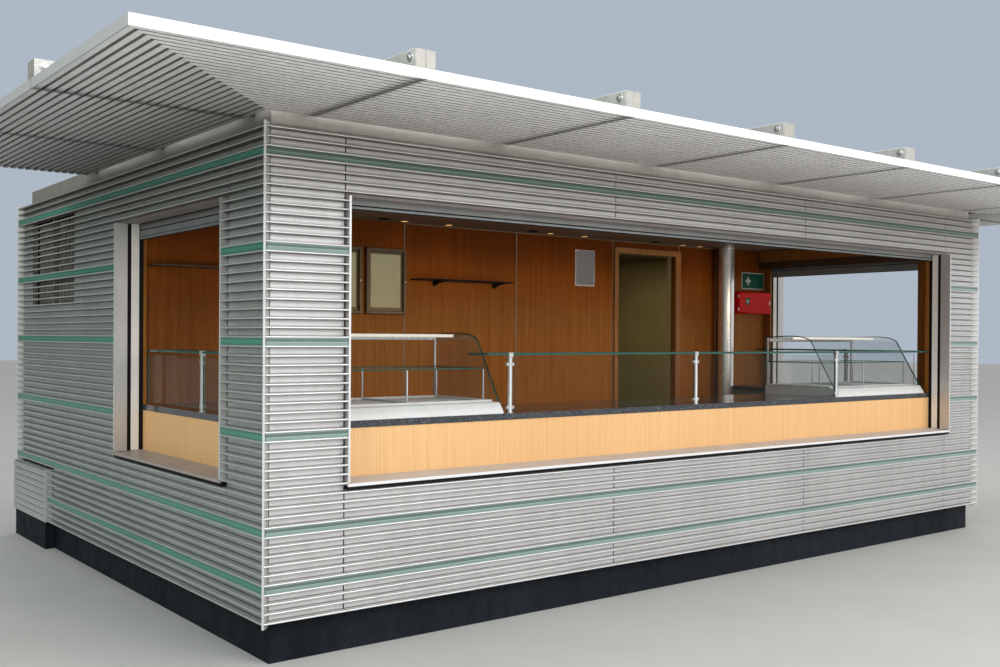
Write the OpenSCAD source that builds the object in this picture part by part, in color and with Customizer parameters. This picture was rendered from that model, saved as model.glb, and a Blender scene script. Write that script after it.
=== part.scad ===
// Street kiosk: a serving building clad in horizontal metal fins, with a wide
// serving hatch in front, a window in each side and a louvred canopy round
// three sides. Millimetres, Z up, front towards -Y. The origin is on the
// ground at the middle of the whole outline, canopy included.

/* [Building] */
// Length of the building over the fins
body_l = 6032; // [5400:8:7200]
// Depth of the building over the fins
body_d = 4110; // [3900:10:4800]
// Height of the plinth below the fins
plinth_h = 190; // [150:5:240]
// How far the plinth stands back behind the fin fronts
plinth_set = 62; // [50:1:90]
// Height of the finished floor above the ground
floor_h = 150; // [100:5:180]
// Wall thickness from fin front to inner face
wall_t = 126; // [110:2:160]

/* [Cladding] */
// Height of the middle of the lowest fin
fin_z = 195; // [190:1:200]
// Spacing of the fins
pitch = 42; // [42:1:44]
// Thickness of one fin
fin_t = 9; // [6:1:12]
// Depth of the fins in front of their backing sheet
fin_d = 38; // [30:1:38]
// Thickness of the upright plates at corners and openings
blade_t = 10; // [6:1:12]
// Height of the glass strips between two fins
strip_h = 32; // [28:1:33]

/* [Openings] */
// Solid wall right of the serving hatch; the wall left of it is 12 mm wider
hatch_in = 424; // [380:2:600]
// Distance from the front to the near edge of the left window
win_y0 = 475; // [420:5:600]
// Width of the left window
win_w = 1485; // [1200:5:1500]
// Width of the staff door in the rear wall
door_w = 900; // [800:10:1000]
// Width of the doorway in the partition
inner_door_w = 672; // [600:4:760]

/* [Canopy] */
// Overhang of the canopy in front of the fins
over = 904; // [700:4:1000]
// Height of the underside of the canopy
canopy_z = 2446; // [2446:2:2460]
// Height of the canopy edge strip
fascia_h = 40; // [30:1:46]
// Spacing of the canopy slats
slat_p = 42; // [36:1:48]
// Length of the side canopies, measured back from the front of the building
side_len = 2510; // [2000:10:2800]
// Width of a canopy arm
arm_w = 92; // [60:2:100]
// Height of a canopy arm above the roof edge
arm_h = 64; // [60:1:110]

/* [Counter] */
// Height of the worktop
top_h = 1055; // [1040:1:1090]
// Thickness of the stone worktop
stone_t = 34; // [20:1:40]
// Depth of the worktop
top_d = 640; // [500:10:700]
// Height of the guard posts above the worktop
post_h = 321; // [251:5:361]
// Diameter of the guard posts
post_dia = 26; // [20:1:34]

/* [Hidden] */
$fn = 32;
e = 0.5;
tot_d = body_d + over;
yb = tot_d / 2;
yf = yb - body_d;
xl = -body_l / 2;
n_fin = 53;
function zk(k) = fin_z + (52 - k) * pitch;
wall_top = zk(0) + 5;
ledge_z = zk(38);
head_z = zk(6) - fin_t / 2;
soffit_z = head_z - 13;
back_d = fin_d + 4;
win_y1 = win_y0 + win_w;
band_top = 2495;
band_set = 61;
band_rear = 164;
ceil_z = 2250;
box_z = 2087;
front_in = wall_t + 75;
side_in = wall_t + 64;
jamb_z = 785;
part_y = win_y1 + 14;
right_y0 = win_y0 - 68;
right_y1 = win_y1 - 104;
part_t = 80;
door_x = body_l - 2080;
inner_x = 4042;
step_x = body_l - 837;
col_x = body_l - 790;
col_dia = 140;
door_top = floor_h + 2002;
arm_z = band_top;
arm_low = min(arm_z - 1, canopy_z + fascia_h + 1);
hatch_l = hatch_in + 12;
strip_k = [2, 12, 22, 32, 42, 48];
front_arm_x = [for (i = [0:5]) 235 + i * (body_l - 470) / 5];
side_arm_y = [235, 1346, 2457];
case_w = [1010, 1096];
post_in = 187;
post_x = [1520, body_l - 3044, body_l - 1589];

silver = [0.78, 0.78, 0.77];
greyp = [0.63, 0.62, 0.60];
wood = [0.86, 0.62, 0.36];
veneer = [0.45, 0.24, 0.09];
dark = [0.15, 0.17, 0.20];
stone = [0.22, 0.24, 0.26];
glassc = [0.5, 0.72, 0.66];

// Local wall frames: x runs along the wall, y goes inward from the fin fronts.
module on_front() { translate([xl, yf, 0]) children(); }
module on_left() { translate([xl, yf, 0]) rotate([0, 0, 90]) mirror([0, 1, 0]) children(); }
module on_right() { mirror([1, 0, 0]) on_left() children(); }
module on_rear() { translate([-xl, yb, 0]) rotate([0, 0, 180]) children(); }

// A box given by its two corners
module bx(a, b) { translate(a) cube([b[0] - a[0], b[1] - a[1], b[2] - a[2]]); }

// Extrude a (depth, height) outline along the wall from x0 to x1
module along(x0, x1) { translate([x0, 0, 0]) rotate([90, 0, 90]) linear_extrude(x1 - x0) children(); }

// Fins k0 (upper) to k1 (lower) on their backing sheet
module comb2d(k0, k1) {
  translate([fin_d, zk(k1) - 5]) square([4, zk(k0) - zk(k1) + 10]);
  for (k = [k0:k1]) translate([0, zk(k) - fin_t / 2]) square([fin_d + 1, fin_t]);
}
module fins(x0, x1, k0, k1) { along(x0, x1) comb2d(k0, k1); }

// Cuts a wall end back to the 45 degree line of the corner
module mitre_start(h0, h1) {
  difference() {
    children();
    translate([blade_t * 0.71 + e, 0, h0]) rotate([0, 0, 45]) translate([-400, 0, 0]) cube([800, 400, h1 - h0]);
  }
}
module pier_fins(x1, k0, k1) { mitre_start(0, 2600) fins(0, x1, k0, k1); }

module plinth() color(dark) {
  difference() {
    bx([xl + plinth_set, yf + plinth_set, 0], [-xl - plinth_set, yb - plinth_set, plinth_h]);
    bx([xl + wall_t, yf + wall_t, floor_h - 20], [-xl - wall_t, yb - wall_t, plinth_h + 1]);
  }
}
module floor() color([0.35, 0.34, 0.33])
  bx([xl + wall_t, yf + wall_t, floor_h - 20], [-xl - wall_t, yb - wall_t, floor_h]);

// Walls
module front_apron_wall() color(veneer) on_front()
  bx([hatch_l - blade_t, back_d, plinth_h], [body_l - hatch_in + blade_t, wall_t, ledge_z - 15]);
module corner_core(x0, y0) {
  bx([back_d, back_d, plinth_h], [x0 - blade_t, wall_t, wall_top]);
  bx([back_d, back_d, plinth_h], [wall_t, y0 - blade_t, wall_top]);
}
module front_left_corner_wall() color(veneer) on_front() corner_core(hatch_l, win_y0);
module front_right_corner_wall() color(veneer) mirror([1, 0, 0]) on_front() corner_core(hatch_in, right_y0);
module front_lintel() color(veneer) on_front()
  bx([hatch_l - blade_t, back_d, soffit_z], [body_l - hatch_in + blade_t, wall_t, wall_top]);
module side_apron(y0, y1) bx([y0 - blade_t, back_d, plinth_h], [y1 + blade_t, wall_t, ledge_z - 15]);
module side_lintel(y0, y1) bx([y0 - blade_t, back_d, soffit_z], [y1 + blade_t, wall_t, wall_top]);
module side_rear(y1) bx([y1 + blade_t, back_d, plinth_h], [body_d - back_d, wall_t, wall_top]);
module left_apron_wall() color(veneer) on_left() side_apron(win_y0, win_y1);
module left_lintel() color(veneer) on_left() side_lintel(win_y0, win_y1);
// The left rear wall is set back behind the open vent louvres
module left_rear_wall() color(veneer) on_left() difference() {
  side_rear(win_y1);
  bx([2850, 0, zk(17) + 6], [3840, back_d + 50, zk(3) - 6]);
}
module right_apron_wall() color(veneer) on_right() side_apron(right_y0, right_y1);
module right_lintel() color(veneer) on_right() side_lintel(right_y0, right_y1);
module right_rear_wall() color(veneer) on_right() side_rear(right_y1);
module rear_wall_left() color(veneer) on_rear()
  bx([body_l - door_x, back_d, plinth_h], [body_l - wall_t, wall_t, wall_top]);
module rear_wall_right() color(veneer) on_rear()
  bx([wall_t, back_d, plinth_h], [body_l - door_x - door_w, wall_t, wall_top]);
module rear_lintel() color(veneer) on_rear()
  bx([body_l - door_x - door_w, back_d, zk(4) + 6], [body_l - door_x, wall_t, wall_top]);
// Staff door, clad like the wall around it
module rear_door() color(silver) on_rear() {
  x0 = body_l - door_x - door_w + 4;
  x1 = body_l - door_x - 4;
  bx([x0, fin_d, plinth_h], [x1, fin_d + 50, zk(4) + 1]);
  fins(x0, x1, 5, 51);
}

// Partition between the serving room and the rear room
module partition_left() color(veneer) on_front()
  bx([wall_t, part_y, floor_h], [inner_x, part_y + part_t, ceil_z]);
module partition_right() color(veneer) on_front() {
  bx([inner_x + inner_door_w, part_y, floor_h], [body_l - wall_t, part_y + part_t, ceil_z]);
  bx([step_x, part_y - 42, floor_h], [body_l - wall_t, part_y + 1, ceil_z]);
}
module partition_lintel() color(veneer) on_front()
  bx([inner_x, part_y, door_top], [inner_x + inner_door_w, part_y + part_t, ceil_z]);
module doorway_frame() color([0.55, 0.33, 0.15]) on_front() difference() {
  bx([inner_x - 40, part_y - 18, floor_h], [inner_x + inner_door_w + 60, part_y, door_top + 42]);
  bx([inner_x, part_y - 30, floor_h - 10], [inner_x + inner_door_w, part_y + 10, door_top]);
}

module ceiling() color([0.25, 0.16, 0.1])
  bx([xl + wall_t, yf + wall_t, ceil_z], [-xl - wall_t, yb - wall_t, ceil_z + 14]);
module roof_deck() color([0.45, 0.46, 0.46])
  bx([xl + band_set + 40, yf + band_set + 40, wall_top], [-xl - band_set - 40, yb - band_rear - 40, wall_top + 70]);
module roof_edge_band() color(greyp) {
  difference() {
    bx([xl + band_set, yf + band_set, wall_top], [-xl - band_set, yb - band_rear, band_top]);
    bx([xl + band_set + 40, yf + band_set + 40, wall_top - 1], [-xl - band_set - 40, yb - band_rear - 40, band_top + 1]);
  }
  bx([xl + back_d, yb - band_rear, wall_top], [-xl - back_d, yb - back_d, wall_top + 6]);
}

// Cladding: each side is four panels with open joints between them.
// A pier panel stops short of the plate beside the opening and runs on to x1 over and under it
module pier(x1) {
  pier_fins(x1 - blade_t - 1, 0, 52);
  fins(x1 - blade_t - 2, x1 - 3, 0, 6);
  fins(x1 - blade_t - 2, x1 - 3, 39, 52);
}
module front_cladding() color(silver) {
  on_front() {
    pier(hatch_l);
    fins(hatch_l + 3, body_l - hatch_in - 3, 0, 6);
    fins(hatch_l + 3, body_l - hatch_in - 3, 39, 52);
  }
  mirror([1, 0, 0]) on_front() pier(hatch_in);
}
module side_fins(y0, y1, box) {
  pier(y0);
  fins(y0 + 3, y1 - 3, 0, 6);
  fins(y0 + 3, y1 - 3, 39, 52);
  difference() {
    translate([body_d, 0, 0]) mirror([1, 0, 0]) pier(body_d - y1);
    if (box) {
      bx([3298, -50, 0], [body_d + 1, 60, 566]);
      bx([2850, fin_d + 1, zk(17) + 6], [3840, 60, zk(3) - 6]);
    }
  }
}
module left_cladding() color(silver) on_left() side_fins(win_y0, win_y1, true);
module right_cladding() color(silver) on_right() side_fins(right_y0, right_y1, false);
module rear_cladding() color(silver) {
  on_rear() {
    pier_fins(body_l - door_x - door_w, 0, 52);
    fins(body_l - door_x - door_w + 1, body_l - door_x - 1, 0, 4);
  }
  mirror([1, 0, 0]) on_rear() pier_fins(door_x, 0, 52);
}

// Upright plates: one on the diagonal of each corner, one at each side of each opening
module corner_blade() rotate([0, 0, 45]) translate([blade_t / 2, -blade_t / 2, fin_z - 23]) cube([54, blade_t, zk(0) - fin_z + 46]);
module edge_blade(x) bx([x, 0, jamb_z], [x + blade_t, back_d + 35, soffit_z - 1]);
module corner_blades() color(silver) {
  for (m = [0, 1]) mirror([m, 0, 0]) {
    on_front() corner_blade();
    on_rear() corner_blade();
    on_front() edge_blade((m == 0 ? hatch_l : hatch_in) - blade_t);
    on_left() edge_blade((m == 0 ? win_y0 : right_y0) - blade_t);
    on_left() edge_blade(m == 0 ? win_y1 : right_y1);
  }
}

// Glass strips between fins k and k + 1
module strip(x0, x1, k) bx([x0, 4, zk(k) - pitch / 2 - strip_h / 2], [x1, 12, zk(k) - pitch / 2 + strip_h / 2]);
module glass_strips() color(glassc) {
  on_front() {
    for (k = [2, 42, 48]) strip(16, body_l - 16, k);
    for (k = [12, 22, 32]) { strip(16, hatch_l - 12, k); strip(body_l - hatch_in + 12, body_l - 16, k); }
  }
  for (m = [0, 1]) mirror([m, 0, 0]) on_left() {
    strip(16, body_d - 16, 2);
    for (k = [42, 48]) strip(16, m == 0 && k == 48 ? 3294 : body_d - 16, k);
    for (k = [12, 22, 32]) {
      strip(16, (m == 0 ? win_y0 : right_y0) - 12, k);
      strip((m == 0 ? win_y1 : right_y1) + 12, body_d - 16, k);
    }
  }
  on_rear() {
    strip(16, body_l - 16, 2);
    for (k = [12, 22, 32, 42, 48]) { strip(16, body_l - door_x - door_w - 2, k); strip(body_l - door_x + 2, body_l - 16, k); }
  }
}

// Canopy: inclined slats parallel to the wall, rafters above them and an edge strip
module slat2d(y) translate([y, canopy_z + 1]) polygon([[0, 0], [25, 0], [33, 15], [31, 17], [23, 3], [3, 3], [3, 36], [0, 36]]);
n_slat = floor((over + band_set - 8) / slat_p);
// x0 and x1 are the ends of the edge strip; a slat at depth y is cut on the diagonal
module canopy_side(x0, x1, arms, m0, m1) {
  intersection() {
    union() {
      along(x0, x1) {
        translate([-over, canopy_z]) square([5, fascia_h]);
        for (i = [0:n_slat - 1]) slat2d(-over + 8 + i * slat_p);
      }
      for (a = arms) bx([a - 5, -over, canopy_z + 12], [a + 5, band_set, arm_low]);
      if (m0) translate([x0, -over, canopy_z + 12]) rotate([0, 0, 45]) cube([1.4142 * (over + band_set), 6, fascia_h - 12]);
      if (m1) translate([x1, -over, canopy_z + 12]) rotate([0, 0, 45]) cube([6, 1.4142 * (over + band_set), fascia_h - 12]);
    }
    linear_extrude(3000) polygon([[x0 + e, -over], [x1 - (m1 ? e : 0), -over],
      [x1 - (m1 ? over + band_set + e : 0), band_set], [x0 + over + band_set + e, band_set]]);
  }
}
module canopy_front() color(silver) on_front()
  canopy_side(-over, body_l + over, front_arm_x, true, true);
module canopy_left() color(silver) on_left()
  canopy_side(-over, side_len, side_arm_y, true, false);
module canopy_right() color(silver) on_right()
  canopy_side(-over, side_len, side_arm_y, true, false);
// Arms on top of the canopy, fixed to the roof edge and deeper outside it
module arm(a, d) {
  bx([a - arm_w / 2, -over, arm_z], [a + arm_w / 2, d, arm_z + arm_h]);
  bx([a - arm_w / 2, -over, arm_low], [a + arm_w / 2, band_set - 1, arm_z + 1]);
}
module canopy_arms() color(greyp) {
  on_front() for (a = front_arm_x) arm(a, 600);
  for (m = [0, 1]) mirror([m, 0, 0]) on_left() for (a = side_arm_y) arm(a, a < 600 ? a - arm_w / 2 - 1 : 600);
}

// Roller shutters: a box over the whole inside of the wall from b0 to b1, with
// the end of the curtain hanging from it between x0 and x1 on a bar of height bar_h
module shutter(b0, b1, x0, x1, bar_z, bar_h) {
  along(b0, b1) polygon([[wall_t + 4, head_z + 2], [wall_t + 46, head_z + 2], [wall_t + 46, box_z],
    [wall_t + 134, box_z], [wall_t + 134, ceil_z - 2], [wall_t + 4, ceil_z - 2]]);
  bx([x0 - 15, wall_t + 26, bar_z + bar_h - 1], [x1 + 15, wall_t + 37, head_z + 3]);
  bx([x0 - 8, wall_t + 24, bar_z], [x1 + 8, wall_t + 39, bar_z + bar_h]);
}
module roller_shutters() color(greyp) {
  on_front() shutter(wall_t + 4, body_l - wall_t - 4, hatch_l, body_l - hatch_in, 2064, 17);
  on_left() shutter(wall_t + 136, part_y - 2, win_y0, win_y1, 2017, 55);
  on_right() shutter(wall_t + 136, part_y - 44, right_y0, right_y1, 2017, 55);
}
// Guide rails at each side of each opening, behind the upright plates
module guide(x) bx([x, wall_t - 29, jamb_z + 3], [x + blade_t, wall_t + 19, soffit_z - 1]);
module shutter_guides() color([0.85, 0.84, 0.82]) {
  for (m = [0, 1]) mirror([m, 0, 0]) {
    on_front() guide((m == 0 ? hatch_l : hatch_in) - blade_t);
    on_left() guide((m == 0 ? win_y0 : right_y0) - blade_t);
    on_left() guide(m == 0 ? win_y1 : right_y1);
  }
}
// Veneered linings between the openings and the room corners, with a slot for the shutter
module lining(x0, x1, s0, s1, d) {
  if (x1 - s1 > x0 + s0) bx([x0 + s0, wall_t, top_h], [x1 - s1, wall_t + 47, box_z]);
  bx([x0, wall_t + 46, top_h], [x1, d, box_z]);
}
module wall_linings() color([0.6, 0.36, 0.16]) {
  for (m = [0, 1]) mirror([m, 0, 0]) on_front() lining(wall_t, m == 0 ? hatch_l : hatch_in, 0, 22, front_in);
  on_left() lining(front_in, win_y0, 0, 22, side_in);
  on_left() lining(win_y1, part_y - 1, 22, 0, side_in);
  on_right() lining(front_in, right_y0, 0, 22, side_in);
  on_right() lining(right_y1, part_y - 43, 22, 0, side_in);
}
// Glazed menu boxes, a plain board, a first-aid sign and a cabinet on the partition
module wall_fittings() on_front() {
  color([0.4, 0.27, 0.15]) for (x = [1328, 1680]) bx([x, part_y - 30, 1614], [x + 318, part_y, 2063]);
  color([0.6, 0.6, 0.58]) bx([3582, part_y - 4, 1868], [3790, part_y, 2154]);
  color([0.05, 0.3, 0.2]) bx([body_l - 496, part_y - 47, 1906], [body_l - 194, part_y - 42, 2054]);
  color([0.7, 0.05, 0.05]) bx([body_l - 630, part_y - 130, 1685], [body_l - 194, part_y - 42, 1877]);
}
// Sloping metal ledges at the foot of each opening
module ledge(x0, x1) along(x0, x1) polygon([[0, ledge_z - 17], [10, ledge_z - 17], [10, ledge_z - 13],
  [wall_t + 48, ledge_z - 6], [wall_t + 48, ledge_z + 5], [0, ledge_z - 3]]);
module ledges() color(silver) {
  on_front() ledge(hatch_l - blade_t, body_l - hatch_in + blade_t);
  on_left() ledge(win_y0 - blade_t, win_y1 + blade_t);
  on_right() ledge(right_y0 - blade_t, right_y1 + blade_t);
}
// Counter
module beech_front(x0, x1) bx([x0 - 20, wall_t + 46, ledge_z + 5], [x1 + 20, side_in, top_h - stone_t]);
module counter_front() color(wood) {
  on_front() beech_front(hatch_l, body_l - hatch_in);
  on_left() beech_front(win_y0, part_y - 22);
  on_right() beech_front(right_y0, part_y - 64);
}
module counter_base() color([0.75, 0.75, 0.74]) {
  on_front() bx([side_in + 2, side_in + 2, floor_h], [body_l - side_in - 2, top_d + 110, top_h - stone_t - 1]);
  for (m = [0, 1]) mirror([m, 0, 0]) on_left()
    bx([top_d + 112, side_in + 2, floor_h], [part_y - 4 - m * 42, top_d + 110, top_h - stone_t - 1]);
}
module worktop() color(stone) on_front() difference() {
  bx([side_in - 22, side_in - 22, top_h - stone_t], [body_l - side_in + 22, part_y - 2, top_h]);
  bx([top_d + wall_t + 16, top_d + wall_t + 16, top_h - 100], [body_l - top_d - wall_t - 16, part_y + 10, top_h + 10]);
  bx([step_x - 4, part_y - 44, top_h - 100], [body_l, part_y + 10, top_h + 10]);
}
// Round posts on foot discs. A square block at the top holds the glass shelf and small clamps hold the panes
module post() {
  cylinder(d = post_dia, h = post_h - 20);
  cylinder(d = post_dia + 12, h = 6);
  translate([-15, -13, post_h - 24]) cube([30, 26, 28]);
  for (z = [30, post_h - 60]) translate([-24, -8, z - 9]) cube([48, 16, 18]);
}
module guard_posts() color([0.8, 0.8, 0.8]) {
  on_front() for (x = post_x) translate([x, post_in, top_h]) post();
  on_left() translate([win_y0 + 643, post_in, top_h]) post();
  on_right() translate([right_y0 + 658, post_in, top_h]) post();
}
// A pane between two posts, or a post and a wall
module pane(x0, x1) bx([x0, post_in - 4, top_h + 12], [x1, post_in + 4, top_h + post_h - 26]);
// A glass shelf with its front edge at the posts, notched round their top blocks
module shelf(x0, x1, d, posts) difference() {
  bx([x0, post_in - 8, top_h + post_h - 12], [x1, d, top_h + post_h]);
  for (x = posts) bx([x - 16, post_in - 20, top_h + post_h - 20], [x + 16, post_in + 14, top_h + post_h + 10]);
}
module guard_glass() color(glassc) {
  on_front() {
    shelf(1364, body_l - side_in - 20, 355, post_x);
    for (i = [0, 1]) pane(post_x[i] + 25, post_x[i + 1] - 25);
  }
  on_left() {
    shelf(win_y0 + 30, part_y - 44, 400, [win_y0 + 643]);
    pane(win_y0 + 30, win_y0 + 618);
    pane(win_y0 + 668, part_y - 50);
  }
  on_right() {
    shelf(right_y0 + 30, right_y1 - 10, 400, [right_y0 + 658]);
    pane(right_y0 + 30, right_y0 + 633);
    pane(right_y0 + 683, right_y1 - 10);
  }
}
// Display case with a leaning front that curves over into the top
module case2d() polygon([[182, top_h], [820, top_h], [820, top_h + 422], [624, top_h + 431], [526, top_h + 427],
  [462, top_h + 416], [425, top_h + 400], [404, top_h + 376], [365, top_h + 307], [269, top_h + 147], [188, top_h + 9]]);
module case_in2d() polygon([[226, top_h + 60], [840, top_h + 60], [840, top_h + 414], [624, top_h + 424], [528, top_h + 420],
  [466, top_h + 410], [430, top_h + 395], [411, top_h + 373], [372, top_h + 304], [276, top_h + 144]]);
module display_case(w) on_front() {
  difference() {
    along(hatch_in + 42, hatch_in + 42 + w) case2d();
    along(hatch_in + 48, hatch_in + 36 + w) case_in2d();
  }
  bx([hatch_in + 46, 340, top_h + 232], [hatch_in + 38 + w, 808, top_h + 240]);
}
module display_case_left() color(glassc) display_case(case_w[0]);
module display_case_right() color(glassc) mirror([1, 0, 0]) display_case(case_w[1]);

module steel_column() color([0.7, 0.7, 0.7]) on_front()
  translate([col_x, part_y - 114, floor_h]) cylinder(d = col_dia, h = ceil_z - floor_h);
// A glass shelf on brackets and a black shelf, both on the partition
module wall_shelf() color([0.1, 0.1, 0.1]) on_front() {
  bx([2045, part_y - 160, 1854], [2840, part_y, 1864]);
  for (x = [2236, 2767]) along(x, x + 16) polygon([[part_y, 1855], [part_y - 140, 1855], [part_y - 140, 1848], [part_y - 20, 1820], [part_y, 1820]]);
  bx([side_in + 4, part_y - 150, 1866], [756, part_y, 1878]);
}
// Low service box at the rear end of the left side, faced with weatherboard louvres
module service_box() color(silver) on_left() {
  bx([3303, -8, 190], [body_d - 50, fin_d + 3, 544]);
  bx([3303, -8, 190], [body_d, -2, 544]);
  bx([3303, -20, 188], [3311, 0, 547]);
  along(3307, body_d) for (i = [0:7]) translate([0, 192 + i * 44]) polygon([[-20, 0], [-20, 6], [-11, 44], [-7, 44], [-7, 0]]);
  bx([3340, -4, 0], [body_d - 8, plinth_set - 1, 191]);
}

plinth();
floor();
front_apron_wall();
front_left_corner_wall();
front_right_corner_wall();
front_lintel();
left_apron_wall();
left_lintel();
left_rear_wall();
right_apron_wall();
right_lintel();
right_rear_wall();
rear_wall_left();
rear_wall_right();
rear_lintel();
rear_door();
partition_left();
partition_right();
partition_lintel();
doorway_frame();
ceiling();
roof_deck();
roof_edge_band();
front_cladding();
left_cladding();
right_cladding();
rear_cladding();
corner_blades();
glass_strips();
canopy_front();
canopy_left();
canopy_right();
canopy_arms();
roller_shutters();
shutter_guides();
wall_linings();
wall_fittings();
ledges();
counter_front();
counter_base();
worktop();
guard_posts();
guard_glass();
display_case_left();
display_case_right();
steel_column();
wall_shelf();
service_box();
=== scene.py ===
"""Street kiosk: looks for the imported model. Metres, Z up, front towards -Y."""
import bpy
import bmesh
import math
from mathutils import Vector, Matrix


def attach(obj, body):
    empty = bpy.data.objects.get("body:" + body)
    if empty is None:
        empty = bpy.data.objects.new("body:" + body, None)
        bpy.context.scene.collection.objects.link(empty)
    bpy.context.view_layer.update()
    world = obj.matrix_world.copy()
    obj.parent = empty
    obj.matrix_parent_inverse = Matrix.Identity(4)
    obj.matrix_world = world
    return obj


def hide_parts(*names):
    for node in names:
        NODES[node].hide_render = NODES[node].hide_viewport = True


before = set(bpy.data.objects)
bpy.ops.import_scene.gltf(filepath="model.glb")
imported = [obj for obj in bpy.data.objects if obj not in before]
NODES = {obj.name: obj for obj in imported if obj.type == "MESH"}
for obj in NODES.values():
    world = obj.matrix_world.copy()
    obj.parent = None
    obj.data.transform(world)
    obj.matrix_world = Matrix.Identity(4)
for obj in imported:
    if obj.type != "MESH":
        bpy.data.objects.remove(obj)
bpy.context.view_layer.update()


# ---------------------------------------------------------------- dimensions
L, D, OVER = 6.032, 4.110, 0.904
YB = (D + OVER) / 2
YF = YB - D
XL = -L / 2
P = 0.042
FIN_T = 0.009
R = FIN_T / 2
FIN_D = 0.038
BACK = 0.042
BLADE = 0.010


def zk(k):
    return 0.195 + (52 - k) * P


LEDGE = zk(38)
HEAD = zk(6) - R
SOFFIT = HEAD - 0.013
WALL_T = 0.126
WALL_TOP = zk(0) + 0.005
HATCH_L, HATCH_R = 0.436, 0.424
WIN0, WIN1 = 0.475, 1.960
RIGHT0, RIGHT1 = 0.407, 1.856
TOP = 1.055
STONE = 0.034
PART = 1.974
FLOOR = 0.150
CEIL = 2.250
BOX_Z = 2.087
FRONT_IN = 0.201
SIDE_IN = 0.190
JAMB = 0.785
STEP_X = L - 0.837
BAND_TOP = 2.495
CAN_Z = 2.446
FASCIA = 0.040
POST_IN = 0.187
POST_H = 0.321
POST_X = (1.520, L - 3.044, L - 1.589)
ARM_X = [0.235 + i * (L - 0.470) / 5 for i in range(6)]
ARM_Y = [0.235, 1.346, 2.457]
DOOR0, DOOR1 = 1.180, 2.080


def front(a, d, z):
    return (XL + a, YF + d, z)


def left(a, d, z):
    return (XL + d, YF + a, z)


def right(a, d, z):
    return (-XL - d, YF + a, z)


def rear(a, d, z):
    return (-XL - a, YB - d, z)


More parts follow.
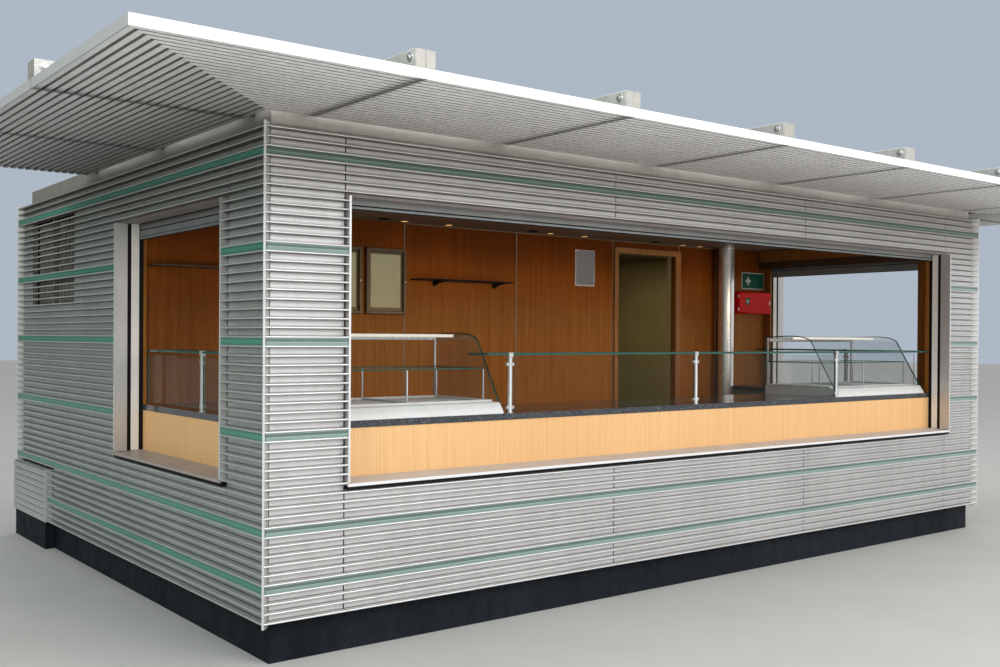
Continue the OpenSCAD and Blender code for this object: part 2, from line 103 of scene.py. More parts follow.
# ---------------------------------------------------------------- mesh tools
class Build:
    """Collects closed shapes and turns them into one object."""

    def __init__(self, name):
        self.name = name
        self.v = []
        self.f = []
        self.m = []

    def add(self, verts, faces, mi=0):
        n = len(self.v)
        self.v += [tuple(p) for p in verts]
        self.f += [tuple(i + n for i in q) for q in faces]
        self.m += list(mi) if isinstance(mi, (list, tuple)) else [mi] * len(faces)

    def box(self, to, lo, hi, c=0.001, mi=0, rim=None, flat=None):
        """A chamfered box between two local corners. With rim and flat, only the two faces across axis flat keep mi."""
        c = min(c, 0.45 * min(abs(h - l) for l, h in zip(lo, hi)))
        verts, at = [], {}
        for sx in (0, 1):
            for sy in (0, 1):
                for sz in (0, 1):
                    p = [hi[0] if sx else lo[0], hi[1] if sy else lo[1], hi[2] if sz else lo[2]]
                    q = [p[0] + (-c if sx else c), p[1] + (-c if sy else c), p[2] + (-c if sz else c)]
                    for ax in range(3):
                        w = list(q)
                        w[ax] = p[ax]
                        at[(sx, sy, sz, ax)] = len(verts)
                        verts.append(to(*w))
        faces, ms = [], []
        ring = ((0, 0), (1, 0), (1, 1), (0, 1))
        for s in (0, 1):
            for ax, q in enumerate(([at[(s, a, b, 0)] for a, b in ring], [at[(a, s, b, 1)] for a, b in ring],
                                    [at[(a, b, s, 2)] for a, b in ring])):
                faces.append(q)
                ms.append(mi if rim is None or ax == flat else rim)
        for a in (0, 1):
            for b in (0, 1):
                faces.append([at[(a, b, 0, 0)], at[(a, b, 1, 0)], at[(a, b, 1, 1)], at[(a, b, 0, 1)]])
                faces.append([at[(a, 0, b, 0)], at[(a, 1, b, 0)], at[(a, 1, b, 2)], at[(a, 0, b, 2)]])
                faces.append([at[(0, a, b, 1)], at[(1, a, b, 1)], at[(1, a, b, 2)], at[(0, a, b, 2)]])
                for s in (0, 1):
                    faces.append([at[(a, b, s, 0)], at[(a, b, s, 1)], at[(a, b, s, 2)]])
        ms += [mi if rim is None else rim] * (len(faces) - len(ms))
        self.add(verts, faces, ms)

    def prism(self, to, outline, a0, a1, cut0=None, cut1=None, mi=0, cap=None):
        """Extrudes a (depth, height) outline along the wall; cut0 and cut1 may give the end at each point."""
        n = len(outline)
        verts = [to(cut0(d, z) if cut0 else a0, d, z) for d, z in outline]
        verts += [to(cut1(d, z) if cut1 else a1, d, z) for d, z in outline]
        faces = [tuple(range(n)), tuple(range(2 * n - 1, n - 1, -1))]
        for i in range(n):
            j = (i + 1) % n
            faces.append((i, j, n + j, n + i))
        c = mi if cap is None else cap
        self.add(verts, faces, [c, c] + [mi] * n)

    def slab(self, to, outline, z0, z1, mi=0, rim=None):
        """Extrudes an (along, depth) outline upwards; rim is the material of its edges."""
        n = len(outline)
        verts = [to(a, d, z0) for a, d in outline] + [to(a, d, z1) for a, d in outline]
        faces = [tuple(range(n)), tuple(range(2 * n - 1, n - 1, -1))]
        for i in range(n):
            j = (i + 1) % n
            faces.append((i, j, n + j, n + i))
        self.add(verts, faces, [mi, mi] + [mi if rim is None else rim] * n)

    def lathe(self, centre, outline, n=24, axis=2, to=None, mi=0, end=None):
        """Turns a (radius, height) outline about an axis through centre; end is the material of the last cap."""
        verts, faces = [], []
        m = len(outline)
        for i in range(n):
            t = 2 * math.pi * i / n
            for r, h in outline:
                p = [r * math.cos(t), r * math.sin(t), h]
                if axis == 0:
                    p = [p[2], p[0], p[1]]
                elif axis == 1:
                    p = [p[0], p[2], p[1]]
                q = (centre[0] + p[0], centre[1] + p[1], centre[2] + p[2])
                verts.append(to(*q) if to else q)
        for i in range(n):
            j = (i + 1) % n
            for k in range(m - 1):
                faces.append((i * m + k, j * m + k, j * m + k + 1, i * m + k + 1))
        faces.append(tuple(i * m for i in range(n)))
        faces.append(tuple(i * m + m - 1 for i in reversed(range(n))))
        self.add(verts, faces, [mi] * (len(faces) - 1) + [mi if end is None else end])

    def done(self, mats, slot, smooth=None, replaces=()):
        me = bpy.data.meshes.new(self.name)
        me.from_pydata(self.v, [], self.f)
        mats = mats if isinstance(mats, (list, tuple)) else [mats]
        for x in mats:
            me.materials.append(x)
        for q, i in zip(me.polygons, self.m):
            q.material_index = i
        bm = bmesh.new()
        bm.from_mesh(me)
        bmesh.ops.recalc_face_normals(bm, faces=bm.faces[:])
        bm.to_mesh(me)
        bm.free()
        if smooth:
            for q in me.polygons:
                q.use_smooth = True
            me.set_sharp_from_angle(angle=math.radians(smooth))
        o = bpy.data.objects.new(self.name, me)
        bpy.context.scene.collection.objects.link(o)
        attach(o, "root")
        if replaces:
            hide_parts(*replaces)
        return o


def minus(rects, hole):
    """Rectangles (a0, z0, a1, z1) with one rectangle taken out."""
    out = []
    for a0, z0, a1, z1 in rects:
        h0, y0, h1, y1 = max(a0, hole[0]), max(z0, hole[1]), min(a1, hole[2]), min(z1, hole[3])
        if h0 >= h1 or y0 >= y1:
            out.append((a0, z0, a1, z1))
            continue
        for q in ((a0, z0, h0, z1), (h1, z0, a1, z1), (h0, z0, h1, y0), (h0, y1, h1, z1)):
            if q[2] - q[0] > 0.001 and q[3] - q[1] > 0.001:
                out.append(q)
    return out


def curve(points, n=5):
    """A smooth line through the points."""
    out = []
    for i in range(len(points) - 1):
        p0, p1, p2, p3 = points[max(0, i - 1)], points[i], points[i + 1], points[min(len(points) - 1, i + 2)]
        for s in range(n):
            t = s / n
            out.append(tuple(0.5 * (2 * b + (c - a) * t + (2 * a - 5 * b + 4 * c - d) * t * t + (3 * b - a - 3 * c + d) * t ** 3)
                             for a, b, c, d in zip(p0, p1, p2, p3)))
    out.append(points[-1])
    return out


# ---------------------------------------------------------------- materials
class Mat:
    def __init__(self, name):
        self.m = bpy.data.materials.new(name)
        self.m.use_nodes = True
        self.t = self.m.node_tree
        self.p = next(n for n in self.t.nodes if n.type == "BSDF_PRINCIPLED")
        self.co = self.t.nodes.new("ShaderNodeTexCoord").outputs["Object"]

    def node(self, kind, **kw):
        n = self.t.nodes.new(kind)
        for k, v in kw.items():
            setattr(n, k, v)
        return n

    def link(self, a, b):
        self.t.links.new(a, b)

    def scaled(self, s):
        n = self.node("ShaderNodeMapping")
        n.inputs["Scale"].default_value = s
        self.link(self.co, n.inputs["Vector"])
        return n.outputs["Vector"]

    def noise(self, s=(1, 1, 1), scale=1.0, detail=4.0, rough=0.55, dist=0.0):
        n = self.node("ShaderNodeTexNoise")
        n.inputs["Scale"].default_value = scale
        n.inputs["Detail"].default_value = detail
        n.inputs["Roughness"].default_value = rough
        n.inputs["Distortion"].default_value = dist
        self.link(self.scaled(s), n.inputs["Vector"])
        return n.outputs["Fac"]

    def ramp(self, fac, stops):
        n = self.node("ShaderNodeValToRGB")
        e = n.color_ramp.elements
        while len(e) < len(stops):
            e.new(0.5)
        for q, (pos, col) in zip(e, stops):
            q.position = pos
            if isinstance(col, (int, float)):
                col = (col, col, col)
            q.color = (*col[:3], 1)
        self.link(fac, n.inputs["Fac"])
        return n.outputs["Color"]

    def mix(self, fac, a, b, mode="MIX"):
        n = self.node("ShaderNodeMix", data_type="RGBA", blend_type=mode)
        for val, sock in ((fac, n.inputs[0]), (a, n.inputs[6]), (b, n.inputs[7])):
            if hasattr(val, "is_linked") or hasattr(val, "links"):
                self.link(val, sock)
            elif isinstance(val, (int, float)):
                sock.default_value = val if sock.type == "VALUE" else (val, val, val, 1)
            else:
                sock.default_value = (*val[:3], 1)
        return n.outputs[2]

    def math(self, op, a, b=0.0, clamp=False):
        n = self.node("ShaderNodeMath", operation=op, use_clamp=clamp)
        for val, sock in ((a, n.inputs[0]), (b, n.inputs[1])):
            if hasattr(val, "links"):
                self.link(val, sock)
            else:
                sock.default_value = val
        return n.outputs[0]

    def xyz(self):
        n = self.node("ShaderNodeSeparateXYZ")
        self.link(self.co, n.inputs[0])
        return n.outputs

    def bump(self, height, strength=0.2, dist=0.001):
        n = self.node("ShaderNodeBump")
        n.inputs["Strength"].default_value = strength
        n.inputs["Distance"].default_value = dist
        self.link(height, n.inputs["Height"])
        self.link(n.outputs["Normal"], self.p.inputs["Normal"])

    def set(self, **kw):
        names = {"color": "Base Color", "metal": "Metallic", "rough": "Roughness", "ior": "IOR", "alpha": "Alpha",
                 "trans": "Transmission Weight", "spec": "Specular IOR Level", "coat": "Coat Weight",
                 "coat_rough": "Coat Roughness", "emit": "Emission Color", "power": "Emission Strength"}
        for k, v in kw.items():
            s = self.p.inputs[names[k]]
            if hasattr(v, "links"):
                self.link(v, s)
            elif s.type == "RGBA":
                s.default_value = (*v[:3], 1)
            else:
                s.default_value = v
        return self


def painted(name, a, b, rough=(0.38, 0.52), metal=0.0, streak=0.12, grime=0.0, fine=900.0, change=None, spec=0.5):
    """Painted or anodised sheet: slow tone change, vertical run-off streaks, fine texture."""
    m = Mat(name)
    base = m.mix(m.ramp(m.noise(scale=1.7, detail=3), [(0.3, 0.0), (0.7, 1.0)]), a, b)
    st = m.ramp(m.noise((9, 9, 0.9), 1.6, 5, 0.6), [(0.35, 1.0 - streak), (0.65, 1.0)])
    col = m.mix(1.0, base, st, "MULTIPLY")
    if grime:
        g = m.ramp(m.noise(scale=26, detail=6, rough=0.7), [(0.42, 1.0 - grime), (0.62, 1.0)])
        col = m.mix(1.0, col, g, "MULTIPLY")
    if change:
        col = change(m, col)
    m.set(color=col, metal=metal, spec=spec)
    m.set(rough=m.ramp(m.noise(scale=11, detail=4), [(0.3, rough[0]), (0.7, rough[1])]))
    m.bump(m.noise(scale=fine, detail=2), 0.06, 0.0004)
    return m.m


def flat_mat(name, col, rough=0.5, metal=0.0, vary=0.06, scale=20.0, bump=0.08, spec=0.5):
    m = Mat(name)
    lo = tuple(c * (1 - vary) for c in col)
    hi = tuple(min(1.0, c * (1 + vary)) for c in col)
    m.set(color=m.mix(m.ramp(m.noise(scale=scale, detail=5), [(0.3, 0.0), (0.7, 1.0)]), lo, hi), metal=metal, spec=spec)
    m.set(rough=m.ramp(m.noise(scale=scale * 1.7, detail=3), [(0.3, max(0.02, rough - 0.06)), (0.7, rough + 0.06)]))
    m.bump(m.noise(scale=scale * 30, detail=2), bump, 0.0004)
    return m.m


def wood(name, dark, mid, light, rough=0.38, coat=0.15, fine=210, coarse=38, spec=0.25):
    """Veneer with straight upright grain."""
    m = Mat(name)
    g1 = m.noise((coarse, coarse, 1.1), 1.0, 6, 0.62, 0.25)
    g2 = m.noise((fine, fine, 5.0), 1.0, 3, 0.6)
    slow = m.noise((1.2, 1.2, 0.6), 1.0, 2)
    f = m.math("ADD", m.math("MULTIPLY", g1, 0.62), m.math("MULTIPLY", g2, 0.38))
    col = m.ramp(f, [(0.30, dark), (0.50, mid), (0.72, light)])
    col = m.mix(m.math("MULTIPLY", slow, 0.30), col, dark, "MULTIPLY")
    m.set(color=col, coat=coat, coat_rough=0.25, spec=spec)
    m.set(rough=m.ramp(g2, [(0.3, rough), (0.7, rough + 0.12)]))
    m.bump(g2, 0.10, 0.0006)
    return m


def either(m, *tests):
    out = tests[0]
    for t in tests[1:]:
        out = m.math("MAXIMUM", out, t)
    return out


def wall_material():
    """Veneer in the serving room, cream in the rear room, near-black on the outer faces and in the jambs as painted
    shade for the gaps behind the cladding; the veneer also carries painted shade, darker and warmer towards the ceiling
    and darker below about 1.7 m at the left end of the room.
    """
    m = wood("wall_veneer", (0.225, 0.080, 0.018), (0.345, 0.137, 0.030), (0.440, 0.192, 0.048), coat=0.0, spec=0.06)
    x, y, z = m.xyz()
    wood_col = m.mix(1.0, m.p.inputs["Base Color"].links[0].from_socket,
                     # painted shade: the veneer gets darker and warmer towards the ceiling
                     m.ramp(m.math("MULTIPLY", z, 0.4), [(0.46, (1.0, 1.0, 1.0)), (0.64, (1.0, 1.0, 1.0)), (0.72, (0.96, 0.74, 0.46)), (0.78, (0.80, 0.53, 0.21)), (0.84, (0.48, 0.29, 0.10)), (0.90, (0.38, 0.23, 0.08))]), "MULTIPLY")
    # painted shade: at the left end of the room the veneer is darker below about 1.7 m
    left_bay_shade = m.ramp(m.math("SUBTRACT", x, XL), [(0.72, 1.0), (0.92, 0.0)])
    wood_col = m.mix(left_bay_shade, wood_col, m.mix(1.0, wood_col, m.ramp(m.math("MULTIPLY", z, 0.4), [(0.68, (0.68, 0.54, 0.42)), (0.78, (0.98, 0.94, 0.75))]), "MULTIPLY"))
    cream = m.mix(m.ramp(m.noise(scale=3.0), [(0.3, 0.0), (0.7, 1.0)]), (0.50, 0.43, 0.24), (0.58, 0.51, 0.30))
    col = m.mix(m.math("GREATER_THAN", y, YF + PART + 0.040), wood_col, cream)
    t = WALL_T - 0.0006
    skin = either(m, m.math("LESS_THAN", y, YF + t), m.math("GREATER_THAN", y, YB - t),
                  m.math("LESS_THAN", x, XL + t), m.math("GREATER_THAN", x, -XL - t))
    # painted shade: near-black on the outer faces and in the jambs, so the gaps behind the cladding look dark
    dark_core_shade = m.mix(m.ramp(m.noise(scale=4.0), [(0.3, 0.0), (0.7, 1.0)]), (0.014, 0.013, 0.012), (0.024, 0.022, 0.021))
    m.set(color=m.mix(skin, col, dark_core_shade))
    return m.m


def canopy_paint_and_shade(m, col, side=False):
    """The edge strip keeps a plain pale paint, darker on the side canopies as painted shade. The slats carry painted
    shade: dark above their undersides (less on faces that look up), beside the rafters and towards the wall.
    """
    x, y, z = m.xyz()
    a = m.math("SUBTRACT", y, YF) if side else m.math("SUBTRACT", x, XL)
    step = ARM_Y[1] - ARM_Y[0] if side else ARM_X[1] - ARM_X[0]
    q = m.math("FRACT", m.math("ADD", m.math("DIVIDE", m.math("SUBTRACT", a, 0.235), step), 0.5))
    q = m.math("MULTIPLY", m.math("SUBTRACT", q, 0.5), step * 10)
    q = m.math("ADD", q, m.math("MULTIPLY", m.math("LESS_THAN", a, -0.2), 9.0))
    # painted shade beside the rafters
    rafter_shade = m.ramp(m.math("ADD", m.math("MULTIPLY", q, 0.5), 0.5), [(0.0, 1.0), (0.12, 0.98), (0.30, 0.70), (0.45, 0.22), (0.54, 0.22), (0.60, 0.92), (0.70, 1.0)])
    e = OVER - 0.0056
    face = either(m, m.math("LESS_THAN", y, YF - e), m.math("LESS_THAN", x, XL - e), m.math("GREATER_THAN", x, -XL + e))
    # painted shade on the slat webs above their undersides
    high_shade = m.ramp(m.math("MULTIPLY", m.math("SUBTRACT", z, CAN_Z), 50.0), [(0.15, 0.0), (0.22, 1.0)] if side else [(0.10, 0.0), (0.15, 1.0)])
    sep = m.node("ShaderNodeSeparateXYZ")
    m.link(m.node("ShaderNodeNewGeometry").outputs["Normal"], sep.inputs[0])
    high_shade = m.math("MULTIPLY", high_shade, m.math("SUBTRACT", 1.0, m.math("MULTIPLY", m.math("GREATER_THAN", sep.outputs[2], 0.5), 0.75)))
    out = m.math("MAXIMUM", m.math("SUBTRACT", YF, y), m.math("MAXIMUM", m.math("SUBTRACT", XL, x), m.math("SUBTRACT", x, -XL)))
    # painted shade towards the wall, and on the side canopies also towards the back
    near = m.ramp(m.math("MULTIPLY", out, 1.0 / OVER), [(0.0, (0.42, 0.41, 0.39) if side else (0.62, 0.59, 0.565)), (0.80, 1.0)])
    if side:
        near = m.mix(1.0, near, m.ramp(m.math("MULTIPLY", m.math("ADD", a, 0.9), 0.3), [(0.0, 1.0), (1.0, 0.60)]), "MULTIPLY")
    col = m.mix(1.0, col, near, "MULTIPLY")
    col = m.mix(1.0, col, rafter_shade, "MULTIPLY")
    col = m.mix(m.math("MULTIPLY", high_shade, 0.88), col, (0.075, 0.064, 0.058))
    # the side fascia is darker than the front one: painted shade
    return m.mix(face, col, (0.47, 0.475, 0.48) if side else (0.90, 0.90, 0.905))


def arm_end_shade(m, col):
    """The end plates of the arms carry painted shade, darker than their sides."""
    x, y, z = m.xyz()
    e = OVER - 0.0012
    end = either(m, m.math("LESS_THAN", y, YF - e), m.math("LESS_THAN", x, XL - e), m.math("GREATER_THAN", x, -XL + e))
    # painted shade on the end plates
    return m.mix(end, col, m.mix(1.0, col, (0.56, 0.55, 0.535), "MULTIPLY"))


def under_canopy(m, col):
    """The uppermost fins, below the canopy, are darker and browner, dusty and in painted shade; on the left side the
    fins and backing take a green tint, painted shade and painted reflection.
    """
    x, y, z = m.xyz()
    dust_and_shade = m.ramp(m.math("MULTIPLY", z, 0.4), [(0.10, 1.0), (0.34, 1.0), (0.48, 0.94), (0.80, 0.95), (0.96, (0.69, 0.65, 0.61))])
    col = m.mix(1.0, col, dust_and_shade, "MULTIPLY")
    # painted shade and painted reflection: green tint on the left side
    return m.mix(m.math("LESS_THAN", x, XL + 0.045), col, m.mix(1.0, col, (0.90, 0.96, 0.93), "MULTIPLY"))


def fin_dirt_and_shade(m, col):
    """Dark brown at the root of the fins, dirt and painted shade in the crease, and painted shade on their undersides.
    """
    x, y, z = m.xyz()
    d = m.math("MINIMUM", m.math("MINIMUM", m.math("SUBTRACT", y, YF), m.math("SUBTRACT", YB, y)),
               m.math("MINIMUM", m.math("SUBTRACT", x, XL), m.math("SUBTRACT", -XL, x)))
    # dirt and painted shade towards the root of each fin
    root = m.ramp(m.math("MULTIPLY", d, 20.0), [(0.48, 0.0), (0.71, 1.0)])
    col = m.mix(m.math("MULTIPLY", root, 0.85), col, (0.15, 0.115, 0.088))
    f = m.math("FRACT", m.math("ADD", m.math("DIVIDE", m.math("SUBTRACT", z, zk(52)), P), 0.5))
    # painted shade on the undersides of the fins
    under = m.math("LESS_THAN", f, 0.5 - (R - 0.0006) / P)
    col = m.mix(m.math("MULTIPLY", under, 0.85), col, (0.075, 0.065, 0.058))
    return under_canopy(m, col)


def blade_face_shade(m, col):
    """The plates carry painted shade on their faces, which leaves their front edges brighter."""
    x, y, z = m.xyz()
    d1 = m.math("MINIMUM", m.math("SUBTRACT", x, XL), m.math("SUBTRACT", -XL, x))
    d2 = m.math("MINIMUM", m.math("SUBTRACT", y, YF), m.math("SUBTRACT", YB, y))
    edge = either(m, m.math("LESS_THAN", m.math("MINIMUM", d1, d2), 0.0012), m.math("LESS_THAN", m.math("ADD", d1, d2), 0.0082))
    # painted shade on the faces of the plates
    return m.mix(edge, m.mix(1.0, col, (0.80, 0.775, 0.76), "MULTIPLY"), col)


def back_dirt_and_shade(m, col):
    """The backing sheet is darker just above each fin, dirt and painted shade, and just below each fin, painted shadow.
    """
    x, y, z = m.xyz()
    f = m.math("FRACT", m.math("DIVIDE", m.math("SUBTRACT", z, zk(52)), P))
    # dirt and painted shade just above each fin, painted shadow of the fin just below it
    t = m.ramp(f, [(0.107, 0.88), (0.17, 0.48), (0.25, 0.06), (0.33, 0.0), (0.62, 0.0), (0.74, 0.18), (0.81, 0.48), (0.893, 0.92)])
    blot = m.ramp(m.noise((3, 3, 9), 3.0, 4, 0.5), [(0.3, 0.85), (0.7, 1.0)])
    col = m.mix(m.math("MULTIPLY", t, blot, True), col, (0.115, 0.098, 0.082))
    return under_canopy(m, col)


MAT = {}
MAT["fin"] = painted("fin_silver", (0.73, 0.73, 0.73), (0.80, 0.80, 0.80), (0.34, 0.44), 0.68, 0.06, 0.02, change=fin_dirt_and_shade)
MAT["louvre"] = painted("louvre_silver", (0.55, 0.57, 0.56), (0.62, 0.64, 0.63), (0.34, 0.44), 0.60, 0.07, 0.04)
# colour of the dark sheet behind the louvres: painted shade
MAT["gap"] = painted("gap_teal_shade", (0.045, 0.070, 0.066), (0.065, 0.095, 0.090), (0.4, 0.5), 0.0, 0.07, 0.04)
MAT["back"] = painted("backing_silver", (0.71, 0.70, 0.695), (0.79, 0.78, 0.775), (0.40, 0.52), 0.50, 0.08, 0.02, change=back_dirt_and_shade)
MAT["blade"] = painted("blade_silver", (0.76, 0.76, 0.76), (0.84, 0.84, 0.84), (0.30, 0.42), 0.5, 0.06, 0.03, change=blade_face_shade)
MAT["band"] = painted("band_bronze", (0.33, 0.305, 0.275), (0.41, 0.38, 0.345), (0.32, 0.45), 0.30, 0.10, 0.05)
MAT["canopy"] = painted("canopy_grey", (0.80, 0.795, 0.79), (0.88, 0.875, 0.87), (0.40, 0.52), 0.10, 0.05, 0.08, change=canopy_paint_and_shade)
# the side canopies are a darker copy of the canopy paint: painted shade
MAT["canopy_side"] = painted("canopy_side_shaded_grey", (0.71, 0.71, 0.71), (0.79, 0.79, 0.79), (0.40, 0.52), 0.10, 0.05, 0.08,
                             change=lambda m, col: canopy_paint_and_shade(m, col, True))
MAT["arm"] = painted("arm_grey", (0.61, 0.60, 0.575), (0.71, 0.70, 0.67), (0.38, 0.5), 0.15, 0.12, 0.10, change=arm_end_shade)
MAT["soffit"] = painted("soffit_grey", (0.22, 0.192, 0.176), (0.29, 0.255, 0.235), (0.38, 0.5), 0.15, 0.10, 0.10)
MAT["plinth"] = painted("plinth_dark", (0.009, 0.013, 0.018), (0.017, 0.023, 0.031), (0.55, 0.70), 0.0, 0.30, 0.28, spec=0.12)
MAT["wall"] = wall_material()
MAT["beech"] = wood("beech_front", (0.70, 0.40, 0.170), (0.82, 0.510, 0.240), (0.88, 0.590, 0.31), 0.40, 0.05, 420, 90).m
MAT["lining"] = wood("lining_veneer", (0.20, 0.070, 0.014), (0.33, 0.125, 0.026), (0.44, 0.185, 0.042), coat=0.0, spec=0.06).m
MAT["frame"] = wood("door_frame_veneer", (0.22, 0.085, 0.022), (0.36, 0.155, 0.045), (0.46, 0.22, 0.07)).m
MAT["floor"] = flat_mat("floor_vinyl", (0.11, 0.11, 0.11), 0.55, 0.0, 0.12, 60.0)
MAT["ceiling"] = flat_mat("ceiling_board", (0.165, 0.108, 0.070), 0.5, 0.0, 0.12, 12.0, spec=0.3)
MAT["roof"] = flat_mat("roof_sheet", (0.22, 0.225, 0.225), 0.75, 0.0, 0.18, 3.0, 0.25)
MAT["slat"] = painted("shutter_grey", (0.25, 0.25, 0.24), (0.32, 0.32, 0.31), (0.35, 0.48), 0.2, 0.08, 0.06)
MAT["bar"] = painted("shutter_bar", (0.25, 0.27, 0.275), (0.31, 0.33, 0.335), (0.38, 0.50), 0.2, 0.08, 0.06, spec=0.2)
MAT["guide"] = painted("guide_white", (0.93, 0.87, 0.82), (0.97, 0.91, 0.86), (0.35, 0.45), 0.0, 0.06, 0.04)
MAT["cabinet"] = flat_mat("cabinet_panel", (0.34, 0.34, 0.33), 0.5, 0.0, 0.06, 8.0)
MAT["black"] = flat_mat("rubber_black", (0.006, 0.006, 0.006), 0.6, 0.0, 0.2, 30.0, spec=0.15)
# colour of the sheet behind the open vent: painted shade
MAT["vent"] = flat_mat("vent_shade_dark", (0.33, 0.30, 0.265), 0.7, 0.0, 0.2, 9.0)
MAT["joint"] = flat_mat("joint_dark", (0.020, 0.020, 0.019), 0.7, 0.0, 0.2, 9.0)
MAT["brown"] = painted("box_brown", (0.060, 0.034, 0.018), (0.080, 0.046, 0.026), (0.30, 0.42), 0.2, 0.08, 0.05)
MAT["bronze"] = painted("frame_bronze", (0.13, 0.095, 0.055), (0.19, 0.14, 0.085), (0.30, 0.40), 0.6, 0.05, 0.03)
MAT["trim"] = painted("trim_pale", (0.20, 0.145, 0.095), (0.27, 0.20, 0.13), (0.28, 0.40), 0.4, 0.05, 0.03)
MAT["tray"] = flat_mat("tray_white", (0.68, 0.68, 0.67), 0.35, 0.0, 0.05, 15.0)
MAT["card"] = flat_mat("blank_card", (0.52, 0.50, 0.31), 0.6, 0.0, 0.06, 9.0)
MAT["board"] = flat_mat("plain_board", (0.24, 0.235, 0.24), 0.45, 0.0, 0.06, 9.0)
MAT["white"] = flat_mat("sign_white", (0.60, 0.62, 0.58), 0.4, 0.0, 0.04, 9.0)
MAT["green"] = flat_mat("sign_green", (0.003, 0.070, 0.040), 0.5, 0.0, 0.12, 14.0, spec=0.15)
MAT["red"] = flat_mat("cabinet_red", (0.66, 0.004, 0.004), 0.5, 0.0, 0.08, 14.0, spec=0.15)
MAT["edge"] = flat_mat("glass_edge", (0.013, 0.080, 0.062), 0.15, 0.0, 0.15, 40.0)
MAT["shelf_edge"] = flat_mat("shelf_edge", (0.020, 0.030, 0.022), 0.25, 0.0, 0.15, 40.0)
MAT["column"] = painted("column_paint", (0.80, 0.78, 0.76), (0.88, 0.86, 0.84), (0.20, 0.28), 0.80, 0.05, 0.03)


def ledge_mat():
    m = Mat("ledge_sheet")
    br = m.noise((3, 300, 300), 1.0, 3, 0.5)
    col = m.mix(m.ramp(br, [(0.3, 0.0), (0.7, 1.0)]), (0.50, 0.47, 0.455), (0.62, 0.585, 0.57))
    x, y, z = m.xyz()
    # painted shade: the ledges of the side windows, near the ends, are darker
    shaded_sides = either(m, m.math("LESS_THAN", x, XL + 0.200), m.math("GREATER_THAN", x, -XL - 0.200))
    col = m.mix(shaded_sides, col, m.mix(1.0, col, (0.72, 0.66, 0.64), "MULTIPLY"))
    wear = m.ramp(m.noise(scale=5, detail=4, rough=0.5), [(0.35, 0.90), (0.65, 1.0)])
    # painted highlight along the front edge
    lip_highlight = m.math("LESS_THAN", m.math("SUBTRACT", y, YF), 0.0006)
    col = m.mix(lip_highlight, m.mix(1.0, col, wear, "MULTIPLY"), (0.80, 0.79, 0.80))
    m.set(color=col, metal=0.15, spec=0.3)
    m.set(rough=m.ramp(m.noise(scale=30, detail=5), [(0.3, 0.38), (0.7, 0.48)]))
    m.bump(br, 0.05, 0.0003)
    return m.m


def granite_mat():
    m = Mat("granite")
    v = m.node("ShaderNodeTexVoronoi")
    v.inputs["Scale"].default_value = 260.0
    m.link(m.co, v.inputs["Vector"])
    g = m.math("MULTIPLY", v.outputs["Color"], 1.0)
    n = m.noise(scale=140.0, detail=3, rough=0.7)
    f = m.math("ADD", m.math("MULTIPLY", g, 0.5), m.math("MULTIPLY", n, 0.5))
    col = m.ramp(f, [(0.34, (0.008, 0.010, 0.013)), (0.52, (0.028, 0.034, 0.042)), (0.66, (0.09, 0.10, 0.115)), (0.80, (0.30, 0.31, 0.33))])
    m.set(color=col, rough=0.16, coat=0.3, coat_rough=0.08)
    return m.m


def strip_mat():
    """Pale green glass over a frosted back, drawn as a flat colour with painted light: a painted highlight line across
    the middle, painted shadow of the fin above over the part above it, painted shade on the strips under the canopy and
    a darker, greener painted shade on the side walls.
    """
    m = Mat("strip_glass")
    x, y, z = m.xyz()
    s = m.math("MULTIPLY", m.math("FRACT", m.math("DIVIDE", m.math("SUBTRACT", z, zk(52) + 0.005), P)), 1.3125)
    # painted shadow of the fin above and painted highlight lines across each strip
    low = m.ramp(s, [(0.0, (0.17, 0.25, 0.225)), (0.05, (0.24, 0.33, 0.305)), (0.40, (0.23, 0.32, 0.295)), (0.455, (0.46, 0.54, 0.51)),
                     (0.51, (0.13, 0.19, 0.17)), (0.86, (0.11, 0.165, 0.148)), (0.93, (0.32, 0.41, 0.385)), (1.0, (0.14, 0.21, 0.19))])
    # painted shade on the strips under the canopy
    high_shade = m.ramp(s, [(0.0, (0.080, 0.125, 0.098)), (0.40, (0.115, 0.175, 0.140)), (0.46, (0.27, 0.35, 0.31)), (0.53, (0.085, 0.130, 0.104)),
                      (1.0, (0.050, 0.078, 0.062))])
    # painted shade on the side walls, darker and greener
    side = m.ramp(s, [(0.0, (0.055, 0.185, 0.140)), (0.5, (0.085, 0.285, 0.220)), (1.0, (0.055, 0.180, 0.137))])
    col = m.mix(m.math("GREATER_THAN", z, 2.20), low, high_shade)
    shaded_sides = either(m, m.math("LESS_THAN", x, XL + 0.0125), m.math("GREATER_THAN", x, -XL - 0.0125))
    col = m.mix(shaded_sides, col, side)
    soft = m.ramp(m.noise((2, 2, 9), 1.4, 4), [(0.3, 0.86), (0.7, 1.0)])
    m.set(color=m.mix(1.0, col, soft, "MULTIPLY"), rough=0.30, spec=0.25)
    return m.m


def glass_mat(name, tint, thin):
    """Clear sheet glass that lets light and shadow through."""
    m = Mat(name)
    lw = m.node("ShaderNodeLayerWeight")
    lw.inputs["Blend"].default_value = 0.20
    smear = m.ramp(m.noise(scale=7.0, detail=4), [(0.35, 0.0), (0.75, 0.010)])
    a = m.math("ADD", m.math("MULTIPLY", lw.outputs["Fresnel"], thin), 0.006)
    m.set(color=m.mix(m.ramp(m.noise(scale=2.0), [(0.3, 0.0), (0.7, 1.0)]), tint, tuple(min(1, c * 1.06) for c in tint)))
    m.set(rough=0.03, spec=1.0, alpha=m.math("ADD", a, smear, True))
    return m.m


